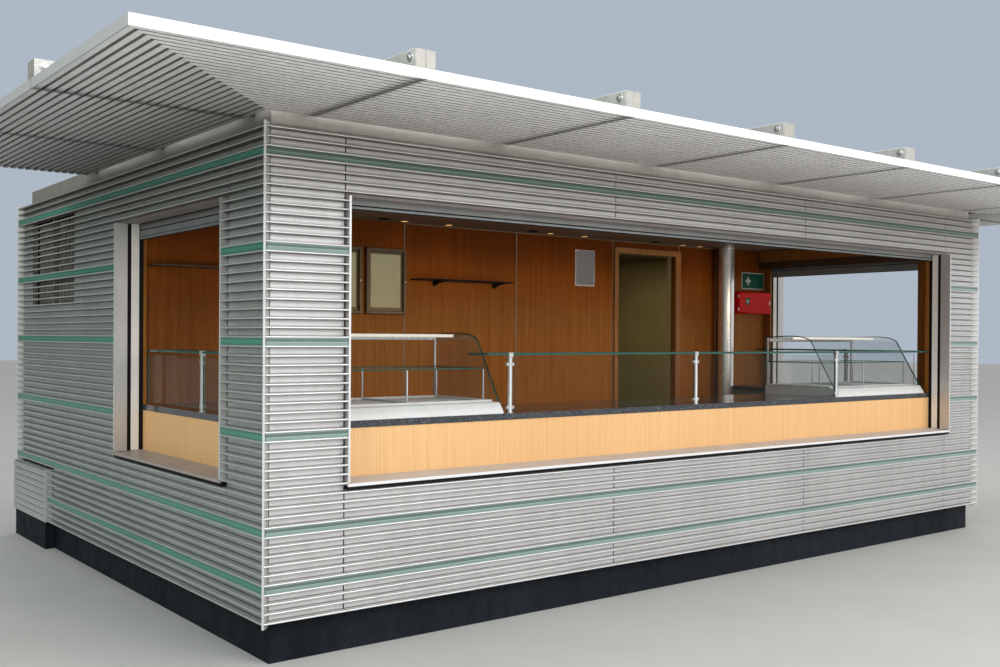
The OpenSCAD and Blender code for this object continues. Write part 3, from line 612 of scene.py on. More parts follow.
def steel_mat(name="post_steel", col=(0.70, 0.70, 0.70), along=2, rough=0.28):
    m = Mat(name)
    s = [260, 260, 260]
    s[along] = 6
    b = m.noise(tuple(s), 1.0, 2)
    lo = tuple(c * 0.9 for c in col)
    m.set(color=m.mix(m.ramp(b, [(0.3, 0.0), (0.7, 1.0)]), lo, col), metal=0.85)
    m.set(rough=m.ramp(b, [(0.3, rough - 0.06), (0.7, rough + 0.08)]))
    return m.m


def lamp_mat(name, col, power):
    m = Mat(name)
    m.set(color=m.mix(m.ramp(m.noise(scale=60.0), [(0.3, 0.0), (0.7, 1.0)]), (0.8, 0.78, 0.7), (0.9, 0.88, 0.8)), rough=0.4)
    m.set(emit=col, power=power)
    return m.m


MAT["ledge"] = ledge_mat()
MAT["granite"] = granite_mat()
MAT["strip"] = strip_mat()
MAT["glass"] = glass_mat("clear_glass", (0.06, 0.10, 0.09), 0.27)
MAT["steel"] = steel_mat()
MAT["lamp"] = lamp_mat("lamp_warm", (1.0, 0.50, 0.12), 1.4)
MAT["tube"] = lamp_mat("lamp_case", (1.0, 0.90, 0.75), 0.6)

CARRIED = {
    "plinth": "plinth", "floor": "floor", "front_apron_wall": "wall", "front_left_corner_wall": "wall",
    "front_right_corner_wall": "wall", "front_lintel": "wall", "left_apron_wall": "wall", "left_lintel": "wall",
    "left_rear_wall": "wall", "right_apron_wall": "wall", "right_lintel": "wall", "right_rear_wall": "wall",
    "rear_wall_left": "wall", "rear_wall_right": "wall", "rear_lintel": "wall", "rear_door": "fin",
    "partition_left": "wall", "partition_right": "wall", "partition_lintel": "wall", "doorway_frame": "frame",
    "ceiling": "ceiling", "roof_deck": "roof", "roof_edge_band": "band", "glass_strips": "strip",
    "canopy_front": "canopy", "canopy_left": "canopy_side", "canopy_right": "canopy_side", "canopy_arms": "arm",
    "roller_shutters": "slat", "shutter_guides": "guide", "wall_linings": "lining", "wall_fittings": "bronze",
    "ledges": "ledge", "counter_front": "beech", "counter_base": "cabinet", "worktop": "granite",
    "guard_posts": "steel", "guard_glass": "glass", "display_case_left": "glass", "display_case_right": "glass",
    "steel_column": "column", "wall_shelf": "black", "service_box": "fin", "front_cladding": "fin",
    "left_cladding": "fin", "right_cladding": "fin", "rear_cladding": "fin", "corner_blades": "blade",
}
for name, key in CARRIED.items():
    o = NODES[name]
    o.data.materials.clear()
    o.data.materials.append(MAT[key])


# ---------------------------------------------------------------- cladding
def nose(z, back=0.040):
    """Outline of one fin: flat above and below, rounded in front."""
    pts = [(back, z - R), (R, z - R)]
    for i in range(1, 8):
        t = math.pi * i / 8
        pts.append((R - R * math.sin(t), z - R * math.cos(t)))
    return pts + [(R, z + R), (back, z + R)]


def cladding(name, to, length, zones, opening, joints, holes=(), stop=None, edge=(BLADE + 0.001, 0.016)):
    """Four panels a side: fins with hairline joints in front of backing sheets with open joints."""
    b = Build(name)
    miter0 = lambda d, z: d + 0.0078
    miter1 = lambda d, z: length - d - 0.0078
    for k0, k1, is_open in zones:
        z1 = zk(0) + 0.005 if k0 == 0 else zk(k0 - 1) - R
        z0 = zk(52) - 0.005 if k1 == 52 else zk(k1) - R
        o0, o1 = opening
        if is_open:
            near = [j for j in joints if j < o0 - 0.05 or j > o1 + 0.05]
        else:
            near = list(joints)
        ends = [0.0] + near + [length]
        parts = []
        for e0, e1 in zip(ends, ends[1:]):
            if not is_open:
                parts.append((e0, e1, e0, e1, 0, 0))
                continue
            if e0 < o0:
                parts.append((e0, min(e1, o0 - edge[0]), e0, min(e1, o0 - edge[1]), 0, 1 if e1 > o0 else 0))
            if e1 > o1:
                parts.append((max(e0, o1 + edge[0]), e1, max(e0, o1 + edge[1]), e1, 1 if e0 < o1 else 0, 0))
        for a0, a1, c0, c1, f0, f1 in parts:
            for k in range(k0, k1 + 1):
                lo, hi = (a0 if f0 else a0 + 0.0008), (a1 if f1 else a1 - 0.0008)
                if stop and zk(k) - R < stop[1]:
                    hi = min(hi, stop[0])
                    if hi <= lo:
                        continue
                b.prism(to, nose(zk(k)), lo, hi, miter0 if a0 == 0 else None, miter1 if hi > length - 0.01 else None)
            s0 = 0.048 if c0 == 0 else (c0 if f0 else c0 + 0.003)
            s1 = length - 0.048 if c1 == length else (c1 if f1 else c1 - 0.003)
            rects = [(s0, z0, s1, z1)]
            for h in holes:
                rects = minus(rects, h)
            for r in rects:
                b.box(to, (r[0], FIN_D, r[1]), (r[2], BACK - 0.0003, r[3]), 0.0003, 1)
    return b


FRONT_ZONES = ((0, 6, False), (7, 38, True), (39, 52, False))
cladding("front_fins", front, L, FRONT_ZONES, (HATCH_L, L - HATCH_R), [0.425, 2.152, 3.880, 5.608]).done(
    [MAT["fin"], MAT["back"]], "fin_metal", 40, ["front_cladding"])
VENT = (2.850, zk(17) + 0.006, 3.840, zk(3) - 0.006)
cladding("left_fins", left, D, FRONT_ZONES, (WIN0, WIN1), [0.464, 1.950, 2.626],
         [VENT, (3.298, 0.0, D + 1, 0.566)], (3.298, 0.566)).done([MAT["fin"], MAT["back"]], "fin_metal", 40, ["left_cladding"])
cladding("right_fins", right, D, FRONT_ZONES, (RIGHT0, RIGHT1), [0.400, 1.850, 2.630]).done(
    [MAT["fin"], MAT["back"]], "fin_metal", 40, ["right_cladding"])
cladding("rear_fins", rear, L, ((0, 4, False), (5, 52, True)), (DOOR0, DOOR1), [DOOR0 + 0.0008, DOOR1 - 0.0008, 3.580, 5.080],
         edge=(0.0005, 0.002)).done([MAT["fin"], MAT["back"]], "fin_metal", 40, ["rear_cladding"])

# the vent is open: a sheet behind it stands for its shaded inside as painted shade, with bars in front
b = Build("vent_backing")
b.box(left, (VENT[0] + 0.002, 0.084, VENT[1] + 0.002), (VENT[2] - 0.002, 0.091, VENT[3] - 0.002), 0.001)
for i in range(1, 12):
    a = VENT[0] + i * (VENT[2] - VENT[0]) / 12
    b.box(left, (a - 0.003, 0.070, VENT[1] + 0.003), (a + 0.003, 0.085, VENT[3] - 0.003), 0.001)
for i in (0, 1, 2):
    a = VENT[0] + 0.012 + i * (VENT[2] - VENT[0] - 0.024) / 2
    b.box(left, (a - 0.010, 0.043, VENT[1] + 0.002), (a + 0.010, 0.070, VENT[3] - 0.002), 0.001)
b.done(MAT["vent"], "fin_metal")

# black seals in the slots beside each rail
b = Build("jamb_seals")
for to, x, s in ((front, HATCH_L, -1), (front, L - HATCH_R, 1), (left, WIN0, -1), (left, WIN1, 1), (right, RIGHT0, -1), (right, RIGHT1, 1)):
    for d0, d1, u0, u1 in ((0.0765, 0.0982, -0.0007, 0.0095), (0.1445, 0.1715, 0.0030, 0.0215)):
        lo, hi = sorted((x + s * u0, x + s * u1))
        b.box(to, (lo, d0, JAMB + 0.004), (hi, d1, (SOFFIT if d0 < 0.1 else BOX_Z) - 0.002), 0.0005)
b.done(MAT["black"], "shelf_black")

# sheets under each head, in three strips
b = Build("head_soffits")
for to, x0, x1 in ((front, HATCH_L, L - HATCH_R), (left, WIN0, WIN1), (right, RIGHT0, RIGHT1)):
    b.box(to, (x0 - 0.0103, 0.0400, SOFFIT - 0.0014), (x1 + 0.0103, 0.0418, HEAD - 0.0002), 0.0004)
    for d0, d1 in ((0.0425, 0.0690), (0.0710, 0.0970), (0.0990, 0.1290)):
        b.box(to, (x0 + 0.0005, d0, SOFFIT - 0.0016), (x1 - 0.0005, d1, SOFFIT - 0.0002), 0.0004)
b.done(MAT["soffit"], "band_metal")

# black filler in the gap under each ledge: painted shade
b = Build("ledge_gaps")
for to, x0, x1 in ((front, HATCH_L, L - HATCH_R), (left, WIN0, WIN1), (right, RIGHT0, RIGHT1)):
    b.box(to, (x0 - 0.010, 0.0060, LEDGE - 0.0310), (x1 + 0.010, 0.0376, LEDGE - 0.0172), 0.0005)
b.done(MAT["black"], "shelf_black")

# ---------------------------------------------------------------- canopy
b = Build("fascia_joints")
for a in ARM_X:
    b.box(front, (a - 0.0008, -OVER - 0.0006, CAN_Z), (a + 0.0008, -OVER + 0.004, CAN_Z + FASCIA), 0.0002)
for to in (left, right):
    for a in ARM_Y[:2]:
        b.box(to, (a - 0.0008, -OVER - 0.0006, CAN_Z), (a + 0.0008, -OVER + 0.004, CAN_Z + FASCIA), 0.0002)
b.done(MAT["joint"], "canopy_metal")

# each arm is a pair of channels back to back with a closing plate and two bolts
b = Build("arm_channels")
ARM_LOW, ARM_TOP, HALF = CAN_Z + FASCIA + 0.001, 2.559, 0.046


def arm(to, a, d1):
    for s in (-1, 1):
        lo, hi = sorted((a + s * 0.0004, a + s * HALF))
        b.box(to, (lo, -OVER + 0.004, BAND_TOP), (hi, d1, ARM_TOP), 0.0022)
        b.box(to, (lo, -OVER + 0.004, ARM_LOW), (hi, 0.060, BAND_TOP + 0.004), 0.0012)
        lo, hi = sorted((a + s * 0.0003, a + s * (HALF - 0.0005)))
        b.box(to, (lo, -OVER, ARM_LOW + 0.0005), (hi, -OVER + 0.0055, ARM_TOP - 0.0008), 0.0014)
        for d in (-OVER + 0.040, -0.050):
            b.lathe((a + s * (HALF - 0.001), d, 2.530), [(0.0185, 0.0), (0.0185, s * 0.0035), (0.0165, s * 0.0050), (0.0095, s * 0.0050), (0.0095, s * 0.0095), (0.0070, s * 0.0120)],
                    20, 0, to, 1)


for a in ARM_X:
    arm(front, a, 0.600)
for to in (left, right):
    for a in ARM_Y:
        arm(to, a, a - HALF - 0.001 if a < 0.6 else 0.600)
b.done([MAT["arm"], MAT["steel"]], "arm_metal", 40, ["canopy_arms"])

# ---------------------------------------------------------------- roof
b = Build("roof_laps")
for i in range(1, 5):
    x = XL + i * L / 5
    b.box(lambda p, q, r: (p, q, r), (x - 0.030, YF + 0.110, WALL_TOP + 0.069), (x + 0.030, YB - 0.212, WALL_TOP + 0.0725), 0.001)
for to, length in ((front, L), (left, D - 0.10), (right, D - 0.10)):
    b.box(to, (0.103, 0.102, WALL_TOP + 0.069), (length - 0.103, 0.150, WALL_TOP + 0.076), 0.003)
for x, y in ((-1.4, 0.9), (1.5, 1.3)):
    b.lathe((x, y, WALL_TOP + 0.069), [(0.085, 0.0), (0.085, 0.006), (0.062, 0.014), (0.060, 0.034), (0.066, 0.036), (0.066, 0.040), (0.030, 0.0405)], 24)
b.done(MAT["roof"], "roof_sheet", 30)

# ---------------------------------------------------------------- shutters
b = Build("shutter_boxes")


def shutter(to, b0, b1, x0, x1, bar_z, bar_h):
    b.box(to, (b0, 0.1305, 2.1515), (b1, 0.2590, CEIL - 0.0025), 0.002, 0)
    b.box(to, (b0, 0.1725, BOX_Z), (b1, 0.2600, 2.1505), 0.002, 1)
    # black block above the curtain, under the box: painted shade
    b.box(to, (b0 + 0.004, 0.1310, HEAD + 0.003), (b1 - 0.004, 0.1730, 2.1500), 0.001, 3)
    z = bar_z + bar_h
    while z < HEAD + 0.003:
        top = z + 0.0385 if z + 0.0505 < HEAD + 0.003 else HEAD + 0.004
        mid, up = z + max(0.0100, 0.5 * (top - z)), z + max(0.0120, 0.82 * (top - z))
        b.box(to, (x0 - 0.013, 0.1580, z - 0.0005), (x1 + 0.013, 0.1612, z + 0.0072), 0.0005, 3)
        b.prism(to, [(0.1562, z + 0.0062), (0.1532, z + 0.0080), (0.1523, mid), (0.1535, up), (0.1565, top - 0.0006),
                     (0.1622, top - 0.0006), (0.1630, up), (0.1628, mid), (0.1620, z + 0.0062)], x0 - 0.014, x1 + 0.014, mi=2)
        z = top
    b.box(to, (x0 - 0.007, 0.1502, bar_z + 0.005), (x1 + 0.007, 0.1648, bar_z + bar_h), 0.0015, 4)
    b.box(to, (x0 - 0.007, 0.1545, bar_z), (x1 + 0.007, 0.1605, bar_z + 0.006), 0.001, 3)
    if bar_h > 0.03:
        b.box(to, (x0 - 0.006, 0.1500, bar_z + 0.018), (x1 + 0.006, 0.1506, bar_z + 0.0215), 0.0002, 3)


shutter(front, WALL_T + 0.004, L - WALL_T - 0.004, HATCH_L, L - HATCH_R, 2.064, 0.017)
shutter(left, WALL_T + 0.136, PART - 0.002, WIN0, WIN1, 2.017, 0.055)
shutter(right, WALL_T + 0.136, PART - 0.044, RIGHT0, RIGHT1, 2.017, 0.055)
b.done([MAT["lining"], MAT["brown"], MAT["slat"], MAT["black"], MAT["bar"]], "shutter_metal", 30, ["roller_shutters"])

# ---------------------------------------------------------------- service box and rear door
b = Build("service_louvres")
b.box(left, (3.305, -0.0020, 0.190), (D - 0.050, FIN_D + 0.002, 0.544), 0.001)
# a dark sheet behind the louvres shows as painted shade in the gaps
b.box(left, (3.3112, -0.0078, 0.1915), (D - 0.0015, -0.0019, 0.5435), 0.0005, 1)
for i in range(8):
    z = 0.192 + i * 0.044
    b.prism(left, [(-0.0195, z), (-0.0200, z + 0.0015), (-0.0200, z + 0.006), (-0.0130, z + 0.0365), (-0.0075, z + 0.0365), (-0.0075, z)], 3.3108, D - 0.001)
b.box(left, (3.303, -0.0200, 0.188), (3.3105, -0.0003, 0.547), 0.001)
b.box(left, (3.311, -0.0120, 0.543), (D - 0.002, -0.0030, 0.5465), 0.0008)
b.done([MAT["louvre"], MAT["gap"]], "fin_metal", 30, ["service_box"])
b = Build("service_plinth")
b.box(left, (3.340, -0.0040, 0.0), (D - 0.008, 0.0610, 0.1895), 0.0015)
for a in (3.60, 3.86):
    b.box(left, (a - 0.0015, -0.0050, 0.004), (a + 0.0015, 0.0, 0.187), 0.0004)
b.done(MAT["plinth"], "plinth_metal")

b = Build("rear_door_leaf")
b.box(rear, (DOOR0 + 0.004, FIN_D + 0.001, 0.190), (DOOR1 - 0.004, FIN_D + 0.050, zk(4) + 0.001), 0.001, 1)
for k in range(5, 52):
    b.prism(rear, nose(zk(k)), DOOR0 + 0.004, DOOR1 - 0.004)
b.box(rear, (DOOR0 + 0.060, 0.004, 1.045), (DOOR0 + 0.105, FIN_D + 0.004, 1.235), 0.004, 2)
b.lathe((DOOR0 + 0.082, 0.004, 1.150), [(0.010, 0.002), (0.010, -0.020), (0.008, -0.024)], 16, 1, rear, 2)
b.box(rear, (DOOR0 + 0.074, -0.026, 1.142), (DOOR0 + 0.195, -0.014, 1.158), 0.004, 2)
b.lathe((DOOR0 + 0.082, 0.004, 1.085), [(0.011, 0.002), (0.011, -0.004), (0.008, -0.006)], 16, 1, rear, 2)
for z in (0.40, 1.20, 1.95):
    b.lathe((DOOR1 - 0.004, 0.003, z), [(0.0055, -0.055), (0.0055, 0.055)], 12, 2, rear, 2)
b.done([MAT["fin"], MAT["back"], MAT["steel"]], "fin_metal", 40, ["rear_door"])

# ---------------------------------------------------------------- counter
b = Build("posts_and_clamps")


def post(to, a):
    d = POST_IN
    b.lathe((a, d, TOP), [(0.0190, 0.0), (0.0190, 0.0035), (0.0175, 0.0055), (0.0130, 0.0060), (0.0130, POST_H - 0.022)], 28, 2, to)
    b.box(to, (a - 0.015, d - 0.013, TOP + POST_H - 0.024), (a + 0.015, d + 0.013, TOP + POST_H + 0.004), 0.002)
    for z in (0.030, POST_H - 0.060):
        for s in (-1, 1):
            lo, hi = sorted((a + s * 0.0115, a + s * 0.0240))
            for e in (-1, 1):
                q0, q1 = sorted((d + e * 0.0042, d + e * 0.0080))
                b.box(to, (lo, q0, TOP + z - 0.009), (hi, q1, TOP + z + 0.009), 0.0012)
            b.lathe((a + s * 0.0185, d - 0.0078, TOP + z), [(0.0038, 0.001), (0.0038, -0.0012), (0.0028, -0.0018)], 12, 1, to)


for a in POST_X:
    post(front, a)
post(left, WIN0 + 0.643)
post(right, RIGHT0 + 0.658)
b.done(MAT["steel"], "post_steel", 35, ["guard_posts"])

b = Build("guard_panes")


def pane(to, a0, a1):
    b.box(to, (a0, POST_IN - 0.004, TOP + 0.012), (a1, POST_IN + 0.004, TOP + POST_H - 0.026), 0.0008, 0, 1, 1)


def shelf(to, a0, a1, d1, posts):
    line = [(a0, POST_IN - 0.008)]
    for x in posts:
        line += [(x - 0.016, POST_IN - 0.008), (x - 0.016, POST_IN + 0.014), (x + 0.016, POST_IN + 0.014), (x + 0.016, POST_IN - 0.008)]
    line += [(a1, POST_IN - 0.008), (a1, d1), (a0, d1)]
    b.slab(to, line, TOP + POST_H - 0.012, TOP + POST_H, 0, 1)


shelf(front, 1.364, L - SIDE_IN - 0.020, 0.355, POST_X)
for i in (0, 1):
    pane(front, POST_X[i] + 0.0135, POST_X[i + 1] - 0.0135)
shelf(left, WIN0 + 0.030, PART - 0.044, 0.400, [WIN0 + 0.643])
pane(left, WIN0 + 0.030, WIN0 + 0.6295)
pane(left, WIN0 + 0.6565, PART - 0.050)
shelf(right, RIGHT0 + 0.030, RIGHT1 - 0.010, 0.400, [RIGHT0 + 0.658])
pane(right, RIGHT0 + 0.030, RIGHT0 + 0.6445)
pane(right, RIGHT0 + 0.6715, RIGHT1 - 0.010)
b.done([MAT["glass"], MAT["edge"]], "clear_glass", None, ["guard_glass"])

# display cases: bent front sheet, end panes, white base with a tray, one glass shelf and a lamp
OUTER = curve([(0.198, 0.030), (0.269, 0.147), (0.365, 0.307), (0.404, 0.376), (0.425, 0.400), (0.462, 0.416), (0.526, 0.427), (0.624, 0.431), (0.820, 0.422)], 4)
INNER = curve([(0.206, 0.030), (0.276, 0.144), (0.372, 0.304), (0.411, 0.373), (0.430, 0.395), (0.466, 0.410), (0.528, 0.420), (0.624, 0.424), (0.820, 0.414)], 4)


def front_right(a, d, z):
    return front(L - a, d, z)


for side, to, w in (("left", front, 1.010), ("right", front_right, 1.096)):
    x0, x1 = HATCH_R + 0.042, HATCH_R + 0.042 + w
    b = Build("case_glass_" + side)
    b.prism(to, [(d, TOP + z) for d, z in OUTER] + [(d, TOP + z) for d, z in reversed(INNER)], x0, x1, mi=0, cap=1)
    pts = [(d, TOP + z) for d, z in INNER if z > 0.058]
    for e0, e1 in ((x0 + 0.001, x0 + 0.007), (x1 - 0.007, x1 - 0.001)):
        b.prism(to, [(0.8195, TOP + 0.0585)] + [(0.2245, TOP + 0.0585)] + [(d + 0.0008, z - 0.0008) for d, z in pts], e0, e1, mi=1, cap=0)
    b.slab(to, [(x0 + 0.010, 0.345), (x1 - 0.010, 0.345), (x1 - 0.010, 0.806), (x0 + 0.010, 0.806)], TOP + 0.232, TOP + 0.239, 0, 1)
    b.done([MAT["glass"], MAT["edge"]], "clear_glass", 30, ["display_case_" + side])
    b = Build("case_base_" + side)
    b.prism(to, [(0.182, TOP), (0.820, TOP), (0.820, TOP + 0.058), (0.2245, TOP + 0.058), (0.2140, TOP + 0.052), (0.1860, TOP + 0.010)], x0, x1)
    b.box(to, (x0 + 0.014, 0.262, TOP + 0.058), (x1 - 0.014, 0.276, TOP + 0.070), 0.003)
    b.box(to, (x0 + 0.014, 0.786, TOP + 0.058), (x1 - 0.014, 0.800, TOP + 0.070), 0.003)
    for e0, e1 in ((x0 + 0.014, x0 + 0.026), (x1 - 0.026, x1 - 0.014), ((x0 + x1) / 2 - 0.008, (x0 + x1) / 2 + 0.008)):
        b.box(to, (e0, 0.276, TOP + 0.058), (e1, 0.786, TOP + 0.070), 0.003)
    for d in (0.350, 0.800):
        for e in (x0 + 0.012, (x0 + x1) / 2, x1 - 0.012):
            b.lathe((e, d, TOP + 0.058), [(0.005, 0.0), (0.005, 0.173)], 12, 2, to, 1)
    b.box(to, (x0 + 0.009, 0.808, TOP + 0.058), (x0 + 0.021, 0.820, TOP + 0.413), 0.0015, 1)
    b.box(to, (x1 - 0.021, 0.808, TOP + 0.058), (x1 - 0.009, 0.820, TOP + 0.413), 0.0015, 1)
    b.box(to, (x0 + 0.022, 0.792, TOP + 0.386), (x1 - 0.022, 0.820, TOP + 0.412), 0.003, 1)
    b.lathe((x0 + 0.040, 0.600, TOP + 0.4115), [(0.0085, 0.0), (0.0085, w - 0.080)], 12, 0, to, 2)
    b.done([MAT["tray"], MAT["steel"], MAT["tube"]], "cabinet_panel", 30)

# ---------------------------------------------------------------- inside
b = Build("column_tube")
b.lathe((L - 0.790, PART - 0.114, FLOOR), [(0.084, 0.0), (0.084, 0.005), (0.080, 0.008), (0.070, 0.009), (0.070, CEIL - FLOOR - 0.009), (0.074, CEIL - FLOOR - 0.008),
                                          (0.074, CEIL - FLOOR - 0.001)], 56, 2, front)
b.done(MAT["column"], "column_metal", 30, ["steel_column"])

b = Build("ceiling_lights")
for x, y in ((1.933, 1.873), (2.304, 1.875), (3.235, 1.867), (3.591, 1.873), (4.739, 1.905), (4.951, 1.905), (0.95, 1.10), (2.05, 1.10), (3.15, 1.10), (4.25, 1.10)):
    b.lathe((x, y, CEIL), [(0.0370, 0.0), (0.0370, -0.0025), (0.0345, -0.0045), (0.0300, -0.0045), (0.0290, -0.0020)], 28, 2, front, 0, 1)
for x, y in ((1.744, 1.833), (3.030, 1.825), (4.366, 1.860)):
    b.lathe((x, y, CEIL), [(0.0420, 0.0), (0.0420, -0.0030), (0.0390, -0.0050), (0.0200, -0.0050), (0.0190, -0.0075)], 28, 2, front, 2)
b.done([MAT["brown"], MAT["lamp"], MAT["black"]], "ceiling_board", 40)

b = Build("partition_trims")
for x in (0.999, 1.999, 2.995, 3.992, 4.771):
    b.box(front, (x - 0.0055, PART - 0.0020, FLOOR), (x + 0.0055, PART + 0.001, CEIL), 0.0006)
b.box(front, (4.020, PART - 0.0020, 2.189), (4.765, PART + 0.001, 2.199), 0.0006)
b.box(front, (2.000, PART - 0.006, CEIL - 0.008), (STEP_X - 0.001, PART + 0.001, CEIL), 0.0008)
b.box(front, (STEP_X - 0.0030, PART - 0.0445, FLOOR), (STEP_X + 0.0090, PART - 0.0410, CEIL), 0.0008)
b.done(MAT["trim"], "wall_veneer")

b = Build("menu_boxes")
for x in (1.328, 1.680):
    x1, z0, z1 = x + 0.318, 1.614, 2.063
    for lo, hi in (((x, z0), (x + 0.022, z1)), ((x1 - 0.022, z0), (x1, z1)), ((x + 0.0215, z0), (x1 - 0.0215, z0 + 0.022)), ((x + 0.0215, z1 - 0.022), (x1 - 0.0215, z1))):
        b.box(front, (lo[0], PART - 0.030, lo[1]), (hi[0], PART - 0.0005, hi[1]), 0.003)
    b.box(front, (x + 0.020, PART - 0.012, z0 + 0.020), (x1 - 0.020, PART - 0.001, z1 - 0.020), 0.0008, 1)
    b.box(front, (x + 0.040, PART - 0.0135, z0 + 0.045), (x1 - 0.040, PART - 0.0115, z1 - 0.040), 0.0005, 2)
    b.lathe((x1 - 0.011, PART - 0.030, 0.5 * (z0 + z1)), [(0.006, 0.001), (0.006, -0.003), (0.004, -0.004)], 14, 1, front, 3)
b.box(front, (3.582, PART - 0.004, 1.868), (3.790, PART - 0.0003, 2.154), 0.001, 4)
b.box(front, (3.592, PART - 0.0047, 1.880), (3.780, PART - 0.0037, 2.142), 0.0003, 5)
x0, x1 = L - 0.496, L - 0.194
b.box(front, (x0, PART - 0.0455, 1.906), (x1, PART - 0.042, 2.054), 0.001, 6)
b.box(front, (x0 + 0.007, PART - 0.0463, 1.913), (x1 - 0.007, PART - 0.0450, 2.047), 0.0004, 7)
cx, cz = x0 + 0.085, 1.980
b.box(front, (cx - 0.034, PART - 0.0470, cz - 0.011), (cx + 0.034, PART - 0.0460, cz + 0.011), 0.0003, 6)
b.box(front, (cx - 0.011, PART - 0.0470, cz - 0.034), (cx + 0.011, PART - 0.0460, cz + 0.034), 0.0003, 6)
b.done([MAT["bronze"], MAT["bronze"], MAT["card"], MAT["steel"], MAT["steel"], MAT["board"], MAT["white"], MAT["green"]], "fitting_paint", 40, ["wall_fittings"])

b = Build("red_cabinet")
x0, x1 = L - 0.630, L - 0.194
b.box(front, (x0, PART - 0.112, 1.685), (x1, PART - 0.042, 1.877), 0.006)
b.box(front, (x0 + 0.004, PART - 0.130, 1.689), (x1 - 0.004, PART - 0.114, 1.873), 0.006)
for z in (1.722, 1.835):
    b.lathe((x0 + 0.003, PART - 0.118, z), [(0.005, -0.012), (0.005, 0.012)], 12, 2, front, 1)
b.box(front, (x1 - 0.030, PART - 0.134, 1.765), (x1 - 0.018, PART - 0.129, 1.800), 0.0015, 1)
cx, cz = x0 + 0.110, 1.792
b.box(front, (cx - 0.030, PART - 0.1310, cz - 0.030), (cx + 0.030, PART - 0.1299, cz + 0.030), 0.0003, 2)
b.box(front, (cx - 0.020, PART - 0.1316, cz - 0.006), (cx + 0.020, PART - 0.1306, cz + 0.006), 0.0003, 3)
b.box(front, (cx - 0.006, PART - 0.1316, cz - 0.020), (cx + 0.006, PART - 0.1306, cz + 0.020), 0.0003, 3)
b.done([MAT["red"], MAT["steel"], MAT["green"], MAT["white"]], "fitting_paint", 40)

b = Build("wall_shelves")
b.box(front, (2.045, PART - 0.160, 1.854), (2.840, PART - 0.0005, 1.864), 0.001, 0, 1, 2)
for x in (2.236, 2.767):
    b.prism(front, [(PART - 0.0005, 1.8535), (PART - 0.138, 1.8535), (PART - 0.140, 1.8515), (PART - 0.140, 1.8485), (PART - 0.060, 1.8400), (PART - 0.020, 1.8230), (PART - 0.0005, 1.8200)],
            x, x + 0.016, mi=1)
b.box(front, (SIDE_IN + 0.001, PART - 0.150, 1.869), (0.756, PART - 0.0005, 1.876), 0.001, 2)
b.done([MAT["glass"], MAT["black"], MAT["shelf_edge"]], "shelf_black", None, ["wall_shelf"])

b = Build("counter_doors")
for i in range(6):
    a = 0.80 + i * 0.72
    if a + 0.70 < L - 0.80:
        b.box(front, (a, 0.7495, FLOOR + 0.10), (a + 0.705, 0.7660, TOP - STONE - 0.030), 0.002)
        b.box(front, (a + 0.640, 0.7655, 0.80), (a + 0.652, 0.7850, 0.96), 0.003, 1)
b.done([MAT["cabinet"], MAT["steel"]], "cabinet_panel", 40)

# ---------------------------------------------------------------- stage
floor_me = bpy.data.meshes.new("stage_floor")
s = 60.0
floor_me.from_pydata([(-s, -s, 0), (s, -s, 0), (s, s, 0), (-s, s, 0)], [], [(0, 1, 2, 3)])
floor_ob = bpy.data.objects.new("stage_floor", floor_me)
bpy.context.scene.collection.objects.link(floor_ob)
floor_me.materials.append(flat_mat("stage_pale", (0.46, 0.455, 0.44), 0.8, 0.0, 0.03, 2.0))

world = bpy.data.worlds.new("studio")
bpy.context.scene.world = world
world.use_nodes = True
wt = world.node_tree
for n in list(wt.nodes):
    wt.nodes.remove(n)
tc = wt.nodes.new("ShaderNodeTexCoord")
dot = wt.nodes.new("ShaderNodeVectorMath")
dot.operation = "DOT_PRODUCT"
dot.inputs[1].default_value = Vector((0.50, -0.62, 0.60)).normalized()
wt.links.new(tc.outputs["Generated"], dot.inputs[0])
half = wt.nodes.new("ShaderNodeMath")
half.operation = "MULTIPLY_ADD"
half.inputs[1].default_value = 0.5
half.inputs[2].default_value = 0.5
wt.links.new(dot.outputs["Value"], half.inputs[0])
wr = wt.nodes.new("ShaderNodeValToRGB")
wt.links.new(half.outputs[0], wr.inputs["Fac"])
while len(wr.color_ramp.elements) < 5:
    wr.color_ramp.elements.new(0.5)
for q, (pos, col) in zip(wr.color_ramp.elements, ((0.10, (0.055, 0.070, 0.065)), (0.30, (0.15, 0.18, 0.17)), (0.50, (0.62, 0.67, 0.66)), (0.70, (0.80, 0.81, 0.82)), (0.95, (0.94, 0.94, 0.94)))):
    q.position = pos
    q.color = (*col, 1)
out = wt.nodes.new("ShaderNodeOutputWorld")
bg1 = wt.nodes.new("ShaderNodeBackground")
wt.links.new(wr.outputs["Color"], bg1.inputs[0])
bg1.inputs[1].default_value = 1.0
bg2 = wt.nodes.new("ShaderNodeBackground")
bg2.inputs[0].default_value = (0.42, 0.48, 0.56, 1)
bg2.inputs[1].default_value = 1.0
lp = wt.nodes.new("ShaderNodeLightPath")
mx = wt.nodes.new("ShaderNodeMixShader")
wt.links.new(lp.outputs["Is Camera Ray"], mx.inputs[0])
wt.links.new(bg1.outputs[0], mx.inputs[1])
wt.links.new(bg2.outputs[0], mx.inputs[2])
wt.links.new(mx.outputs[0], out.inputs[0])


def area(name, loc, target, size, power, col=(1, 1, 1)):
    ld = bpy.data.lights.new(name, "AREA")
    ld.shape = "RECTANGLE"
    ld.size, ld.size_y = size
    ld.energy = power
    ld.color = col
    o = bpy.data.objects.new(name, ld)
    o.location = loc
    o.rotation_euler = (Vector(target) - Vector(loc)).to_track_quat("-Z", "Y").to_euler()
    bpy.context.scene.collection.objects.link(o)
    o.visible_camera = False
    return o


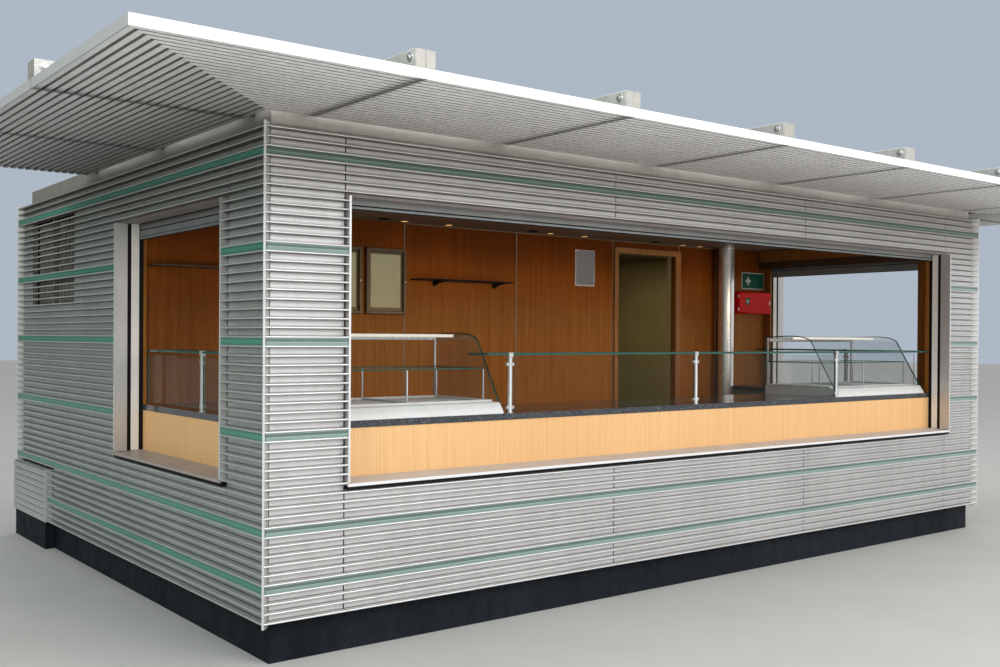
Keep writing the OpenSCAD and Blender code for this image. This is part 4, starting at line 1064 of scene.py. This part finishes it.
area("key", (3.0, -13.0, 8.2), (0.4, 0, 1.4), (11, 6), 1090, (1.0, 0.995, 0.985))
area("top", (0.0, -2.0, 12.0), (0, 0, 0), (12, 10), 400)
area("low", (0.8, -6.5, 0.30), (0.8, -2.1, 2.9), (11, 1.2), 60).data.spread = math.radians(60)
area("left", (-9.5, -4.5, 6.0), (-3.0, 0.2, 1.0), (5, 3), 385, (0.92, 1.0, 0.97))
area("room", (XL + 2.9, YF + 1.15, CEIL - 0.012), (XL + 2.9, YF + 1.15, 0), (4.2, 0.9), 2, (1.0, 0.72, 0.42))
area("wash", (XL + 3.0, YF + 0.50, 1.80), (XL + 3.0, YF + PART, 1.15), (4.6, 0.20), 4, (1.0, 0.68, 0.36)).data.spread = math.radians(80)
area("rear_room", (XL + 4.6, YF + 3.0, CEIL - 0.012), (XL + 4.6, YF + 3.0, 0), (1.6, 0.8), 5, (1.0, 0.84, 0.50))
for x in (1.933, 2.304, 3.235, 3.591, 4.739, 4.951):
    ld = bpy.data.lights.new("downlight", "SPOT")
    ld.energy = 0.3
    ld.color = (1.0, 0.66, 0.34)
    ld.spot_size = math.radians(115)
    ld.spot_blend = 0.7
    ld.shadow_soft_size = 0.02
    o = bpy.data.objects.new("downlight", ld)
    o.location = front(x, 1.873, CEIL - 0.012)
    bpy.context.scene.collection.objects.link(o)

# ---------------------------------------------------------------- camera
yaw, pitch, roll = (math.radians(v) for v in (37.907, -0.317, 0.345))
fw = Vector((math.sin(yaw) * math.cos(pitch), math.cos(yaw) * math.cos(pitch), math.sin(pitch)))
r0 = Vector((math.cos(yaw), -math.sin(yaw), 0))
u0 = r0.cross(fw)
rr = r0 * math.cos(roll) + u0 * math.sin(roll)
uu = -r0 * math.sin(roll) + u0 * math.cos(roll)
cam = bpy.data.cameras.new("camera")
cam.sensor_fit = "HORIZONTAL"
cam.sensor_width = 36.0
cam.lens = 38.88
cam.shift_y = 0.01025
cam.clip_end = 200.0
co = bpy.data.objects.new("camera", cam)
loc = Vector((XL - 49.48 * P, YF - 103.47 * P, (30.07 + 4.63) * P))
co.matrix_world = Matrix(((rr.x, uu.x, -fw.x, loc.x), (rr.y, uu.y, -fw.y, loc.y), (rr.z, uu.z, -fw.z, loc.z), (0, 0, 0, 1)))
bpy.context.scene.collection.objects.link(co)
bpy.context.scene.camera = co
bpy.context.scene.view_settings.view_transform = "Standard"

bpy.context.view_layer.update()
